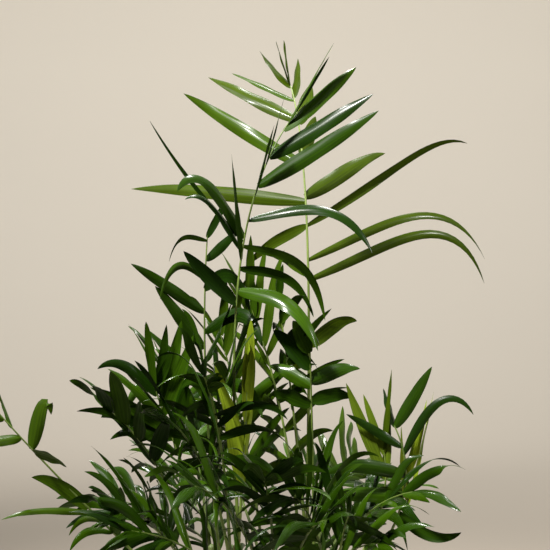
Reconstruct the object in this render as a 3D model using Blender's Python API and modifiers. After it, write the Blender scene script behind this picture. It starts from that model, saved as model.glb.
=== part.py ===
"""A young palm of many shoots in a plain tapered pot, as sold under the name cat palm.

Metres, +Z up. The origin is the middle of the pot's flat underside. Short ringed canes
stand in the potting soil, and each frond rises from beside its cane: a bare petiole, then
a rib with a row of narrow leaflets on either side. The growth rule below works every
frond out from a few named sizes and angles.
"""

import math
from dataclasses import dataclass

import bmesh
import bpy
import numpy as np
from mathutils.bvhtree import BVHTree

MM = 0.001
GAP = 0.3 * MM                      # clear space between neighbouring solids

# Pot and soil
POT_HEIGHT = 135 * MM
POT_RIM_RADIUS = 75 * MM
POT_FOOT_RADIUS = 53 * MM
POT_WALL = 5 * MM
POT_FLOOR = 7 * MM
RIM_BAND_HEIGHT = 16 * MM
RIM_BAND_PROUD = 2 * MM
SOIL_TOP = 122 * MM
TURNED_STEPS = 40

# Canes: radius at the soil and at the top, and the spacing of the rings on them
CANE_FOOT_RADIUS = 5.2 * MM
CANE_TOP_RADIUS = 3.6 * MM
CANE_RING_SPACING = 22 * MM
CANE_RING_SWELL = 1.08
CANE_WAIST = 0.42                   # where it is thinnest, as a share of the way to the next ring

# Fronds: radius of the petiole at its foot and of the rib at its tip
PETIOLE_RADIUS = 2.1 * MM
RIB_TIP_RADIUS = 0.7 * MM
RIB_TAPER = 0.8
RIB_SPACING = 30 * MM               # between the points of its path
SPINE_STEPS = 96

# Leaflets: steps along the blade, thickness as a share of length, and its outline
LEAF_STEPS = 24
LEAF_STATIONS = (0, 4, 14, 24)      # of the steps above, from root to tip
LONG_LEAF_STATIONS = (0, 4, 11, 18, 24)
LONG_LEAF = 125 * MM
LEAF_THICKNESS = 0.0125
LEAF_WIDEST = 0.39
LEAF_ROOT_POWER = 0.62
LEAF_TIP_POWER = 0.95
LEAF_ROOT_START = 0.02
LEAF_SWEEP = 0.2
LEAF_ROOT_HALF_WIDTH = 0.7 * MM
LEAF_THIN_END = 0.75                # thickness at the last station before the tip

# How a frond's leaflets change with their place, from 0 at the lowest pair to 1 at the top
LONGEST_PLACE = 0.45
LOW_SHORTER = 0.22                  # share of length the lowest leaflets lack
SPREAD_POWER = 1.3
TOP_STIFFER = 0.55                  # share of droop the top leaflets lack
LAST_WHERE = 0.997                  # share of the rib at which the top pair grows
SIDE_SHIFT = 0.25                   # one side sits higher, by this share of the spacing

# How far the seeded scatter moves one leaflet from the rule: angles in degrees, else shares
SPREAD_SCATTER = 6
LIFT_SCATTER = 8
LENGTH_SCATTER = 0.08
WIDTH_SCATTER = 0.1
DROOP_SCATTER = 0.45
ROLL_SCATTER = 14
TWIST_SCATTER = 45
WHERE_SCATTER = 0.12
BEND_POWER = 2.15
BEND_SCATTER = 0.65

# Other poses that a leaflet takes where its first would touch something:
# degrees added to its spread and its lift, and a factor on its length
POSES = (
    (0, 0, 1.0),
    (9, 0, 1.0),
    (-9, 0, 1.0),
    (0, 18, 1.0),
    (0, -18, 1.0),
    (12, 20, 0.85),
    (-12, -20, 0.85),
    (0, 34, 0.75),
    (0, -34, 0.75),
)

FLAT_ANGLE = math.radians(1)        # joined faces that turn less than this become one

UP = np.array([0.0, 0.0, 1.0])


@dataclass(frozen=True)
class Cane:
    """Foot in mm from the pot's middle, the way it leans, how far, and its height in mm."""

    x: float
    y: float
    heading: float
    lean: float
    height: float


CANES = {
    "a": Cane(-36, -36, 180, 2, 95),
    "b": Cane(34, 34, 0, 2, 90),
    "c": Cane(46, -2, 180, 3, 80),
    "d": Cane(-50, 24, 180, 8, 85),
    "e": Cane(-24, 4, 170, 12, 75),
    "g": Cane(-54, -8, 190, 14, 55),
    "j": Cane(50, -32, -10, 16, 70),
    "k": Cane(6, -50, -100, 10, 55),
    "m": Cane(0, 50, 90, 10, 60),
}


@dataclass(frozen=True)
class Frond:
    """One frond. Angles are in degrees, lengths in mm.

    height is where it leaves its cane, above the soil. heading is the compass way it
    leans, 0 for +X and 90 for +Y. lean is its angle from upright at the foot and at the
    tip, and late says how late along it the lean changes. bare is the share without
    leaflets. spread is the leaflets' angle from the rib at the lowest and the top pair.
    raised lifts them out of the frond's flat plane, turn turns that plane about the rib,
    and droop is how strongly a leaflet bends down towards its tip. short is the share of
    length the top leaflets lack, and loose is how untidily they all stand.
    """

    height: float
    heading: float
    lean: tuple
    length: float
    tone: str = "dark"
    late: float = 1.6
    pairs: int = 6
    bare: float = 0.45
    leaf: float = 105
    width: float = 12.5
    spread: tuple = (62, 25)
    raised: float = 20
    droop: float = 0.9
    turn: float = 0
    short: float = 0.34
    loose: float = 1
    seed: int = 0


@dataclass(frozen=True)
class Note:
    """What one leaflet does differently. where is its place as a share of the frond's length,
    late says how late along it the bend comes, and the rest is as for the frond."""

    spread: float
    leaf: float
    droop: float = None
    raised: float = None
    roll: float = None
    late: float = None
    where: float = None
    width: float = None


FRONDS = {
    "a1": Frond(
        80, 16, (-2, 35), 438, late=3.2, pairs=8, bare=0.5, leaf=125, spread=(75, 8), raised=45,
        droop=0.6, turn=135, seed=1,
    ),
    "b1": Frond(
        80, 100, (-4, 56), 515, tone="back", late=3, pairs=9, bare=0.42, leaf=150, width=12,
        spread=(72, 30), raised=8, droop=0.5, turn=-12, short=0.5, seed=2,
    ),
    "c1": Frond(
        70, -167, (5, 9), 260, pairs=4, bare=0.76, leaf=70, spread=(60, 25), droop=1.8, loose=2,
        seed=3,
    ),
    "c4": Frond(
        50, -100, (4, 12), 235, pairs=4, bare=0.78, leaf=55, spread=(75, 30), droop=1.3, seed=40,
    ),
    "d1": Frond(70, 10, (-6, 4), 330, bare=0.42, leaf=110, spread=(70, 20), turn=90, seed=4),
    "d2": Frond(
        55, -80, (0, 50), 225, bare=0.5, leaf=100, spread=(70, 30), droop=1.5, turn=40, loose=2,
        seed=14,
    ),
    "e1": Frond(60, -162, (25, 18), 202, bare=0.4, leaf=85, spread=(65, 15), turn=-80, seed=5),
    "g1": Frond(40, -151, (13, 50), 214, leaf=85, droop=1.3, seed=6),
    "g4": Frond(
        15, -164, (47, 41), 308, tone="mid", late=1, bare=0.4, leaf=80, spread=(62, 35), raised=0,
        droop=0.5, turn=75, seed=47,
    ),
    "j1": Frond(50, -16, (45, -28), 183, pairs=4, bare=0.3, leaf=85, spread=(50, 15), turn=80, seed=8),
    "j2": Frond(
        60, 9, (58, -17), 132, tone="young", pairs=2, bare=0.6, leaf=85, width=10, spread=(14, 4),
        droop=0.1, turn=80, seed=9,
    ),
    "j3": Frond(
        65, -14, (33, -12), 132, tone="pale", pairs=2, bare=0.6, leaf=80, width=9, spread=(14, 3),
        droop=0, turn=80, seed=10,
    ),
    "j4": Frond(30, -85, (34, 66), 165, pairs=5, leaf=90, droop=1.2, turn=-50, loose=2, seed=11),
    "j5": Frond(
        40, -110, (28, 70), 170, pairs=5, bare=0.5, leaf=95, droop=1.4, turn=55, loose=2, seed=12,
    ),
    "a2": Frond(
        85, -29, (4, 3), 160, tone="young", pairs=4, leaf=100, width=10, spread=(14, 4),
        droop=0.05, seed=13,
    ),
    "a3": Frond(
        60, -105, (6, 50), 230, pairs=5, bare=0.5, leaf=100, spread=(70, 30), droop=1.5, turn=-45,
        loose=2, seed=15,
    ),
    "k1": Frond(20, -75, (32, 80), 205, droop=1.4, turn=35, loose=2.2, seed=101),
    "k2": Frond(30, -120, (25, 75), 205, droop=1.4, turn=-40, loose=2.2, seed=17),
    "k3": Frond(10, -55, (36, 80), 190, leaf=95, droop=1.3, turn=50, loose=2.2, seed=18),
    "k4": Frond(45, -95, (25, 70), 185, droop=1.4, turn=-15, loose=2.2, seed=19),
    "k5": Frond(15, -145, (38, 80), 195, leaf=95, droop=1.3, turn=-55, loose=2.2, seed=20),
    "c2": Frond(45, -40, (26, 78), 160, leaf=90, droop=1.4, turn=45, loose=2.2, seed=21),
    "c3": Frond(60, 25, (26, 82), 120, pairs=5, leaf=75, droop=1.3, loose=2, seed=71),
    "e2": Frond(56, -125, (14, 58), 195, droop=1.4, turn=-50, loose=2.2, seed=43),
    "e3": Frond(36, 129, (32, 80), 165, leaf=90, droop=1.3, turn=30, loose=2, seed=24),
    "g2": Frond(30, -130, (30, 75), 165, leaf=90, droop=1.4, turn=-40, loose=2.2, seed=25),
    "g3": Frond(45, 170, (30, 82), 135, pairs=5, leaf=80, droop=1.3, turn=-35, loose=2, seed=26),
    "b2": Frond(55, 65, (36, 84), 170, tone="mid", leaf=90, turn=40, loose=2, seed=27),
    "b3": Frond(70, 165, (6, 22), 270, tone="mid", leaf=100, turn=60, loose=1.5, seed=28),
    "d3": Frond(54, 115, (16, 62), 245, turn=40, loose=2, seed=29),
    "m1": Frond(20, 72, (38, 80), 205, pairs=5, turn=35, loose=2, seed=30),
    "m2": Frond(30, 125, (24, 75), 225, turn=-40, loose=2, seed=31),
    "m3": Frond(10, 145, (45, 84), 185, pairs=5, leaf=90, loose=2, seed=53),
    "m4": Frond(50, 170, (8, 16), 250, tone="mid", leaf=100, turn=70, loose=1.5, seed=33),
    "m5": Frond(15, 50, (48, 85), 135, pairs=5, leaf=85, loose=2, seed=34),
}

# Leaflets of the tallest fronds that differ from the rule. They are numbered from the lowest,
# positive on one side of the rib and negative on the other.
NOTES = {
    "a1": {
        1: Note(93, 113, droop=2.9, raised=89, roll=20, late=2.4, where=0.6, width=12.5),
        2: Note(89, 96, droop=3.4, raised=74, roll=-30, late=2.6, where=0.65, width=9),
        3: Note(91, 130, droop=5, raised=34, late=3, where=0.7, width=7),
        4: Note(66, 142, droop=2.5, raised=76, roll=25, late=2.5, where=0.76, width=9.5),
        5: Note(45, 139, droop=0.1, raised=82, where=0.84, width=13),
        6: Note(40, 119, droop=0.1, raised=83, where=0.91, width=13),
        7: Note(23, 94, droop=0.1, raised=97, where=0.98, width=12),
        8: Note(27, 92, droop=0.1, raised=158, where=0.997, width=8),
        -1: Note(58, 81, droop=0.1, raised=-24, where=0.57, width=12),
        -2: Note(44, 88, droop=1.4, raised=-33, roll=35, where=0.69, width=9),
        -3: Note(48, 110, droop=1.9, raised=-27, roll=15, late=2.6, where=0.72, width=12.5),
        -4: Note(55, 149, droop=-0.2, raised=-49, where=0.71, width=3.5),
        -5: Note(21, 104, droop=0, raised=-30, where=0.67, width=7),
        -6: Note(29, 78, droop=0.2, raised=28, where=0.81, width=7),
        -7: Note(25, 72, droop=0, raised=13, where=0.89, width=5),
        -8: Note(11, 78, droop=0, raised=21, where=0.997, width=4),
    },
    "b1": {
        1: Note(52, 60, droop=1.1, raised=-18, late=2.5, where=0.4, width=12),
        2: Note(68, 240, droop=3.1, raised=-22, late=4, where=0.53, width=8),
        3: Note(66, 238, droop=2.3, raised=-22, late=3.2, where=0.57, width=7.5),
        4: Note(59, 234, droop=0.9, raised=-26, late=5, where=0.64, width=7.5),
        5: Note(58, 144, droop=0.5, raised=-41, late=3.5, where=0.7, width=13),
        6: Note(22, 56, droop=0.2, raised=-24, where=0.79, width=12),
        7: Note(21, 58, droop=0.1, raised=0, where=0.87, width=13),
        8: Note(19, 57, droop=0, raised=41, where=0.95, width=9),
        9: Note(47, 54, droop=0, raised=100, where=0.997, width=8),
        -1: Note(146, 33, droop=0.8, raised=6, where=0.4, width=7),
        -2: Note(59, 68, droop=0.6, raised=-46, where=0.54, width=8),
        -3: Note(110, 74, droop=0.8, raised=-15, where=0.64, width=9),
        -4: Note(76, 212, droop=0.3, raised=-21, where=0.69, width=12.5),
        -5: Note(50, 177, droop=0.1, raised=-17, where=0.77, width=12.5),
        -6: Note(47, 128, droop=0.2, raised=-5, where=0.88, width=12),
        -7: Note(46, 88, droop=0.2, raised=4, where=0.94, width=8),
        -8: Note(34, 63, droop=0, raised=40, where=0.99, width=11),
        -9: Note(44, 54, droop=0, raised=76, where=0.997, width=8),
    },
    "d1": {
        1: Note(73, 100, droop=2.4, raised=57, where=0.51, width=11),
        2: Note(42, 79, droop=0.1, raised=63, where=0.61, width=11),
        3: Note(62, 101, droop=3, raised=54, where=0.7, width=12),
        4: Note(58, 100, droop=3.7, raised=60, where=0.83, width=11),
        5: Note(49, 46, droop=0.1, raised=27, where=0.92, width=8),
        6: Note(27, 43, droop=0, raised=30, where=0.99, width=6),
        -1: Note(42, 122, droop=3.3, raised=17, where=0.43, width=11),
        -2: Note(42, 88, droop=0.3, raised=6, where=0.52, width=11),
        -3: Note(41, 84, droop=0.3, raised=20, where=0.65, width=11),
        -4: Note(59, 96, droop=0.3, raised=21, where=0.76, width=10),
        -5: Note(61, 93, droop=3, raised=45, where=0.86, width=6),
        -6: Note(86, 76, droop=2.9, raised=47, late=3, where=0.98, width=4),
    },
    "e1": {
        1: Note(38, 108, droop=2.1, raised=40, where=0.68, width=9),
        2: Note(37, 101, droop=2.3, raised=42, where=0.78, width=9),
        3: Note(42, 85, droop=0.1, raised=31, where=0.86, width=10),
        4: Note(36, 86, droop=0.1, raised=11, where=0.91, width=10),
        5: Note(28, 69, droop=0.1, raised=24, where=0.97, width=8),
        6: Note(47, 47, droop=0.1, raised=54, where=0.99, width=7),
        -1: Note(36, 87, droop=1.3, raised=20, where=0.65, width=9),
        -2: Note(43, 103, droop=0.8, raised=-8, where=0.73, width=8.5),
        -3: Note(39, 96, droop=0.4, raised=4, where=0.77, width=9),
        -4: Note(35, 82, droop=0.4, raised=22, where=0.86, width=11.5),
        -5: Note(24, 74, droop=1.5, raised=-5, where=0.96, width=9),
        -6: Note(20, 73, droop=0.1, raised=99, where=0.99, width=9),
    },
    "g4": {
        1: Note(62, 81, droop=0.2, raised=-137, where=0.42, width=12),
        2: Note(5, 65, droop=0.8, raised=-14, where=0.54, width=11),
        3: Note(122, 46, droop=0.6, raised=-105, where=0.63, width=11),
        4: Note(112, 59, droop=0.5, raised=-123, where=0.79, width=11),
        5: Note(55, 62, droop=2, raised=164, where=0.8, width=11),
        6: Note(41, 49, droop=0.2, raised=110, where=0.89, width=11),
        -1: Note(55, 84, droop=1.4, raised=-93, where=0.43, width=7),
        -2: Note(56, 71, droop=1.3, raised=-88, where=0.48, width=5),
        -3: Note(45, 104, droop=0.6, raised=-124, where=0.52, width=6),
        -4: Note(37, 98, droop=0.9, raised=-106, where=0.58, width=7),
        -5: Note(57, 52, droop=0.8, raised=-126, where=0.85, width=9),
        -6: Note(41, 50, droop=0.6, raised=-110, where=0.93, width=9),
    },
    "j1": {
        1: Note(115, 71, droop=-1, raised=-1, late=1.5, where=0.53, width=9),
        2: Note(36, 102, droop=1.8, raised=-14, where=0.84, width=7),
        3: Note(57, 74, droop=1.5, raised=-23, where=0.95, width=5),
        4: Note(60, 69, droop=0.3, raised=-13, where=0.99, width=9.5),
        -1: Note(96, 88, droop=0.8, raised=45, where=0.61, width=11),
        -2: Note(75, 85, droop=1, raised=42, where=0.73, width=11),
        -3: Note(47, 63, droop=0.2, raised=34, where=0.88, width=7),
        -4: Note(32, 45, droop=0.1, raised=-86, where=0.99, width=9),
    },
    "j2": {
        1: Note(2, 115, droop=0, raised=63, where=0.73, width=10),
        2: Note(29, 78, droop=0, raised=16, where=0.96, width=8),
        -1: Note(7, 74, droop=0, raised=20, where=0.77, width=8),
        -2: Note(33, 71, droop=0, raised=138, where=0.98, width=7),
    },
    "j3": {
        1: Note(8, 77, droop=0, raised=10, where=0.78, width=7),
        2: Note(19, 82, droop=0, raised=5, where=0.98, width=6),
        -1: Note(18, 100, droop=0, raised=26, where=0.79, width=9),
        -2: Note(2, 62, droop=0, raised=19, where=0.96, width=6),
    },
}

LEAF_COLOURS = {
    "dark": (0.020, 0.055, 0.008),
    "mid": (0.045, 0.100, 0.014),
    "back": (0.080, 0.140, 0.022),
    "pale": (0.150, 0.240, 0.040),
    "young": (0.220, 0.300, 0.060),
}


def unit(vectors):
    """Vectors scaled to length one along the last axis."""
    return vectors / np.maximum(np.linalg.norm(vectors, axis=-1, keepdims=True), 1e-12)


def dot(a, b):
    """Dot product along the last axis, which is kept."""
    return np.sum(a * b, axis=-1, keepdims=True)


def compass(heading):
    """The level unit vector of a compass heading in degrees."""
    angle = math.radians(heading)
    return np.array([math.cos(angle), math.sin(angle), 0.0])


def cane_point(cane, height):
    """The middle of a cane at a height above the soil."""
    foot = np.array([cane.x * MM, cane.y * MM, SOIL_TOP])
    return foot + height * (UP + math.tan(math.radians(cane.lean)) * compass(cane.heading))


def cane_radius(cane, height):
    """A cane's radius, which falls evenly from its foot to its top."""
    return CANE_FOOT_RADIUS + (CANE_TOP_RADIUS - CANE_FOOT_RADIUS) * height / (cane.height * MM)


def rib_radius(along):
    """A frond's radius at a share of its length."""
    return PETIOLE_RADIUS + (RIB_TIP_RADIUS - PETIOLE_RADIUS) * along**RIB_TAPER


def frond_foot(cane, frond):
    """A frond's foot, which stands against the side of its cane, clear of it by the gap."""
    height = frond.height * MM
    reach = PETIOLE_RADIUS * math.cos(math.radians(frond.lean[0]))
    away = cane_radius(cane, height) + reach + 2 * GAP
    return cane_point(cane, height) + away * compass(frond.heading)


def rib_line(foot, frond):
    """Shares of length, points and unit directions of a rib whose lean changes with length."""
    along = np.linspace(0.0, 1.0, SPINE_STEPS + 1)
    lean = np.radians(frond.lean[0] + (frond.lean[1] - frond.lean[0]) * along**frond.late)
    ways = np.sin(lean)[:, None] * compass(frond.heading) + np.cos(lean)[:, None] * UP
    steps = (ways[1:] + ways[:-1]) / 2 * frond.length * MM / SPINE_STEPS
    points = np.concatenate([[foot], foot + np.cumsum(steps, axis=0)])
    return along, points, ways


def read_line(along, values, places):
    """Values on a line of points, read at shares of its length."""
    return np.stack([np.interp(places, along, values[:, axis]) for axis in range(3)], axis=-1)


def leaf_outline(share):
    """Half width of a leaflet as a share of its greatest: a power of s by a power of 1 - s."""

    def bare_curve(s):
        return (s + LEAF_ROOT_START) ** LEAF_ROOT_POWER * (1 - s) ** LEAF_TIP_POWER

    return bare_curve(share) / bare_curve(LEAF_WIDEST)


def leaf_habit(frond, notes):
    """Where each leaflet grows and how: the two sides of the rib, then the seeded scatter."""
    count = 2 * frond.pairs
    scatter = np.random.default_rng(frond.seed).uniform(-1, 1, (count, 8))
    side = np.repeat([1.0, -1.0], frond.pairs)
    place = np.tile(np.linspace(0, 1, frond.pairs), 2)
    spacing = (1 - frond.bare) / frond.pairs
    shift = spacing * (SIDE_SHIFT * (side < 0) + WHERE_SCATTER * scatter[:, 7]) * (place < 1)
    where = np.minimum(frond.bare + (1 - frond.bare) * place + shift, LAST_WHERE)
    shrink = np.where(
        place > LONGEST_PLACE,
        1 - frond.short * ((place - LONGEST_PLACE) / (1 - LONGEST_PLACE)) ** 2,
        1 - LOW_SHORTER * (1 - place / LONGEST_PLACE) ** 2,
    )
    first, last = frond.spread
    loose = frond.loose * scatter
    habit = {
        "side": side,
        "where": where,
        "spread": first + (last - first) * place**SPREAD_POWER + SPREAD_SCATTER * loose[:, 0],
        "raised": frond.raised + LIFT_SCATTER * loose[:, 1],
        "leaf": frond.leaf * shrink * (1 + LENGTH_SCATTER * scatter[:, 2]),
        "droop": frond.droop * (1 - TOP_STIFFER * place) * (1 + DROOP_SCATTER * scatter[:, 3]),
        "late": BEND_POWER + BEND_SCATTER * scatter[:, 4],
        "roll": ROLL_SCATTER * loose[:, 5],
        "twist": TWIST_SCATTER * scatter[:, 6],
        "width": frond.width * (1 + WIDTH_SCATTER * scatter[:, 2]),
    }
    for number, note in notes.items():
        row = number - 1 if number > 0 else frond.pairs - number - 1
        for name, value in vars(note).items():
            if value is not None:
                habit[name][row] = value
    return habit


def leaf_lines(frond, foot, habit, pose):
    """Each leaflet's midline, blade directions and half widths, in one of the poses.

    A leaflet sets out from the rib at its spread angle, lifted out of the frond's plane.
    Its way then bends down by droop times a power of the share, and a little forward
    along the rib. The blade's width lies along the rib, rolled and twisted.
    """
    along, points, ways = rib_line(foot, frond)
    root = read_line(along, points, habit["where"])
    rib = unit(read_line(along, ways, habit["where"]))
    across = -np.cross(UP, compass(frond.heading))
    level = unit(across - dot(across, rib) * rib)
    face = np.cross(level, rib)
    turn = math.radians(frond.turn)
    normal = face * math.cos(turn) + level * math.sin(turn)
    edge = level * math.cos(turn) - face * math.sin(turn)

    shares = np.linspace(0.0, 1.0, LEAF_STEPS + 1)
    more_spread, more_lift, scale = pose
    spread = np.radians(habit["spread"] + more_spread)[:, None]
    raised = np.radians(habit["raised"] + more_lift)[:, None]
    length = habit["leaf"] * scale * MM
    side = habit["side"][:, None]
    out = np.cos(raised) * edge * side + np.sin(raised) * normal
    start = unit(np.cos(spread) * rib + np.sin(spread) * out)
    bend = habit["droop"][:, None] * shares[None] ** habit["late"][:, None]
    way = unit(
        start[:, None] - bend[..., None] * UP + LEAF_SWEEP * shares[None, :, None] * rib[:, None]
    )
    steps = (way[:, 1:] + way[:, :-1]) / 2 * length[:, None, None] / LEAF_STEPS
    line = np.concatenate([root[:, None], root[:, None] + np.cumsum(steps, axis=1)], axis=1)

    flat = unit(rib[:, None] - dot(rib[:, None], way) * way)
    upper = np.cross(flat, way) * side[..., None]
    roll = np.radians(habit["roll"][:, None] + habit["twist"][:, None] * shares[None])[..., None]
    wide = flat * np.cos(roll) + upper * np.sin(roll)
    upper = upper * np.cos(roll) - flat * np.sin(roll)
    half = leaf_outline(shares)[None] * (habit["width"] * MM / 2)[:, None]
    return line, wide, upper, half, length
def bulging_pair(points, core, a, b, c, d):
    """A bent four-cornered face as two triangles, split so that they bulge away from the core."""
    normal = np.cross(points[c] - points[a], points[d] - points[b])
    away = (points[a] + points[b] + points[c] + points[d]) / 4 - core
    ridge = points[a] + points[c] - points[b] - points[d]
    if (ridge @ normal) * (away @ normal) > 0:
        return [(a, b, c), (a, c, d)]
    return [(a, b, d), (b, c, d)]




def leaf_solid(line, wide, upper, half, length, swell=0.0):
    """Corners and faces of one leaflet: a three-cornered blade with a keel, to a point.

    With a swell it is that much larger all round, with a ridge on top, to test for
    clearance.
    """
    picked = LONG_LEAF_STATIONS if length > LONG_LEAF else LEAF_STATIONS
    shown = list(picked[:-1])
    middle, wide, upper = line[shown], wide[shown], upper[shown]
    reach = np.maximum(half[shown], LEAF_ROOT_HALF_WIDTH)[:, None] + swell
    keel = np.full((len(shown), 1), LEAF_THICKNESS * length)
    keel[0] = LEAF_ROOT_HALF_WIDTH
    keel[-1] *= LEAF_THIN_END
    rings = [middle + wide * reach, middle - upper * (keel + swell), middle - wide * reach]
    if swell:
        rings.append(middle + upper * swell)
    corners = len(rings)
    tip = line[-1] + unit(line[-1] - line[-2]) * swell
    points = np.concatenate([np.stack(rings, axis=1).reshape(-1, 3), [tip]])
    faces = [tuple(range(corners))]
    for first in range(0, (len(shown) - 1) * corners, corners):
        core = points[first : first + 2 * corners].mean(axis=0)
        for corner in range(corners):
            here = first + corner
            beside = first + (corner + 1) % corners
            faces += bulging_pair(points, core, here, here + corners, beside + corners, beside)
    last = (len(shown) - 1) * corners
    for corner in range(corners):
        faces.append((last + corner, len(points) - 1, last + (corner + 1) % corners))
    return points, faces


def without_root(points, faces):
    """A leaflet's solid less its root cap and first stretch, which its neighbours may meet."""
    rest = [tuple(corner - 3 for corner in face) for face in faces if min(face) >= 3]
    return points[3:], rest


class Space:
    """The solids placed so far, each with its box, to find what a new leaflet would touch."""

    def __init__(self):
        self.owners = []
        self.low = []
        self.high = []
        self.trees = []

    def add(self, owner, points, faces):
        """Remember a solid under its owner's name."""
        points = np.asarray(points)
        self.owners.append(owner)
        self.low.append(points.min(axis=0))
        self.high.append(points.max(axis=0))
        self.trees.append(BVHTree.FromPolygons(points.tolist(), faces))

    def is_free(self, points, faces, passed_over):
        """True where the solid touches none of the others but those of the owners passed over."""
        near = np.all(np.array(self.low) < points.max(axis=0), axis=1)
        near &= np.all(np.array(self.high) > points.min(axis=0), axis=1)
        tree = BVHTree.FromPolygons(points.tolist(), faces)
        for index in np.flatnonzero(near):
            if self.owners[index] not in passed_over and tree.overlap(self.trees[index]):
                return False
        return True


def clear_scene():
    """Take every object, mesh, curve and collection out of the file."""
    for thing in list(bpy.data.objects):
        bpy.data.objects.remove(thing, do_unlink=True)
    for store in (bpy.data.meshes, bpy.data.curves, bpy.data.materials, bpy.data.collections):
        for thing in list(store):
            store.remove(thing)


def new_collection(name):
    """A collection in the scene."""
    collection = bpy.data.collections.new(name)
    bpy.context.scene.collection.children.link(collection)
    return collection


def new_material(name, colour, roughness):
    """A Principled material of one colour."""
    material = bpy.data.materials.new(name)
    material.use_nodes = True
    shader = material.node_tree.nodes["Principled BSDF"]
    shader.inputs["Base Color"].default_value = (*colour, 1.0)
    shader.inputs["Roughness"].default_value = roughness
    shader.inputs["Metallic"].default_value = 0.0
    material.diffuse_color = (*colour, 1.0)
    return material


def new_object(name, data, collection, material=None):
    """An object made of a mesh or a curve, in a collection."""
    thing = bpy.data.objects.new(name, data)
    collection.objects.link(thing)
    if material is not None:
        data.materials.append(material)
    return thing


def turned(name, profile, collection, material):
    """A turned solid: a half profile, from the axis round its outer side to the axis again."""
    mesh = bpy.data.meshes.new(name)
    corners = [(radius, 0.0, height) for radius, height in profile]
    mesh.from_pydata(corners, [(i, i + 1) for i in range(len(corners) - 1)], [])
    thing = new_object(name, mesh, collection, material)
    screw = thing.modifiers.new("Turn", "SCREW")
    screw.steps = TURNED_STEPS
    screw.render_steps = TURNED_STEPS
    screw.use_merge_vertices = True
    screw.merge_threshold = 0.01 * MM
    screw.use_smooth_shade = False
    return thing


def face_outwards(mesh, merge=0.0):
    """Turn a closed mesh's faces outwards, once points nearer than the merge are one."""
    shape = bmesh.new()
    shape.from_mesh(mesh)
    if merge:
        bmesh.ops.remove_doubles(shape, verts=shape.verts, dist=merge)
    bmesh.ops.recalc_face_normals(shape, faces=shape.faces)
    shape.to_mesh(mesh)
    shape.free()


def tube_mesh(name, points, radii, sides_step):
    """The mesh of a round tube along points, made from a bevelled curve with filled caps."""
    curve = bpy.data.curves.new(name, "CURVE")
    curve.dimensions = "3D"
    curve.bevel_depth = 1.0
    curve.bevel_resolution = sides_step
    curve.use_fill_caps = True
    spline = curve.splines.new("POLY")
    spline.points.add(len(points) - 1)
    for point, place, radius in zip(spline.points, points, radii):
        point.co = (*place, 1.0)
        point.radius = radius
    guide = bpy.data.objects.new(name + "_guide", curve)
    bpy.context.scene.collection.objects.link(guide)
    bpy.context.view_layer.update()
    seen = guide.evaluated_get(bpy.context.evaluated_depsgraph_get())
    mesh = bpy.data.meshes.new_from_object(seen)
    mesh.name = name
    bpy.data.objects.remove(guide, do_unlink=True)
    bpy.data.curves.remove(curve)
    face_outwards(mesh, merge=0.01 * MM)
    return mesh


def cut_level(mesh, height):
    """Cut a standing tube off level at a height, and close its foot."""
    shape = bmesh.new()
    shape.from_mesh(mesh)
    everything = shape.verts[:] + shape.edges[:] + shape.faces[:]
    cut = bmesh.ops.bisect_plane(
        shape, geom=everything, plane_co=(0, 0, height), plane_no=(0, 0, 1), clear_inner=True
    )
    rim = [part for part in cut["geom_cut"] if isinstance(part, bmesh.types.BMEdge)]
    bmesh.ops.contextual_create(shape, geom=rim)
    shape.to_mesh(mesh)
    shape.free()
    face_outwards(mesh)


def mesh_parts(mesh):
    """A mesh's points as an array, and its faces as tuples of point numbers."""
    points = np.empty(len(mesh.vertices) * 3)
    mesh.vertices.foreach_get("co", points)
    return points.reshape(-1, 3), [tuple(face.vertices) for face in mesh.polygons]


def keep_largest_body(mesh):
    """Drop the loose scraps and the sealed hollows that joining leaves in a mesh."""
    shape = bmesh.new()
    shape.from_mesh(mesh)
    bodies = []
    waiting = set(shape.faces)
    while waiting:
        body = [waiting.pop()]
        for face in body:
            for edge in face.edges:
                for other in edge.link_faces:
                    if other in waiting:
                        waiting.remove(other)
                        body.append(other)
        bodies.append(body)
    largest = max(bodies, key=len)
    extra = [face for body in bodies if body is not largest for face in body]
    bmesh.ops.delete(shape, geom=extra, context="FACES")
    bmesh.ops.dissolve_limit(
        shape, angle_limit=FLAT_ANGLE, verts=shape.verts[:], edges=shape.edges[:]
    )
    shape.to_mesh(mesh)
    shape.free()


def make_pot(collection, material):
    """The tapered pot with a plain band round its rim, open at the top."""
    inner_rim = POT_RIM_RADIUS - POT_WALL
    inner_foot = POT_FOOT_RADIUS - POT_WALL
    slope = (POT_RIM_RADIUS - RIM_BAND_PROUD - POT_FOOT_RADIUS) / POT_HEIGHT
    band_foot = POT_HEIGHT - RIM_BAND_HEIGHT
    profile = [
        (0.0, POT_FLOOR),
        (inner_foot, POT_FLOOR),
        (inner_rim, POT_HEIGHT),
        (POT_RIM_RADIUS, POT_HEIGHT),
        (POT_RIM_RADIUS - RIM_BAND_HEIGHT * slope, band_foot),
        (POT_FOOT_RADIUS + slope * band_foot, band_foot),
        (POT_FOOT_RADIUS, 0.0),
        (0.0, 0.0),
    ]
    return turned("pot", profile, collection, material)


def make_soil(collection, material):
    """The potting soil, which fills the pot to just below its rim."""
    inner_foot = POT_FOOT_RADIUS - POT_WALL
    slope = (POT_RIM_RADIUS - POT_FOOT_RADIUS) / (POT_HEIGHT - POT_FLOOR)
    top_radius = inner_foot + slope * (SOIL_TOP - POT_FLOOR) - GAP
    profile = [
        (0.0, SOIL_TOP),
        (top_radius, SOIL_TOP),
        (inner_foot - GAP, POT_FLOOR + GAP),
        (0.0, POT_FLOOR + GAP),
    ]
    return turned("soil", profile, collection, material)


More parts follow.
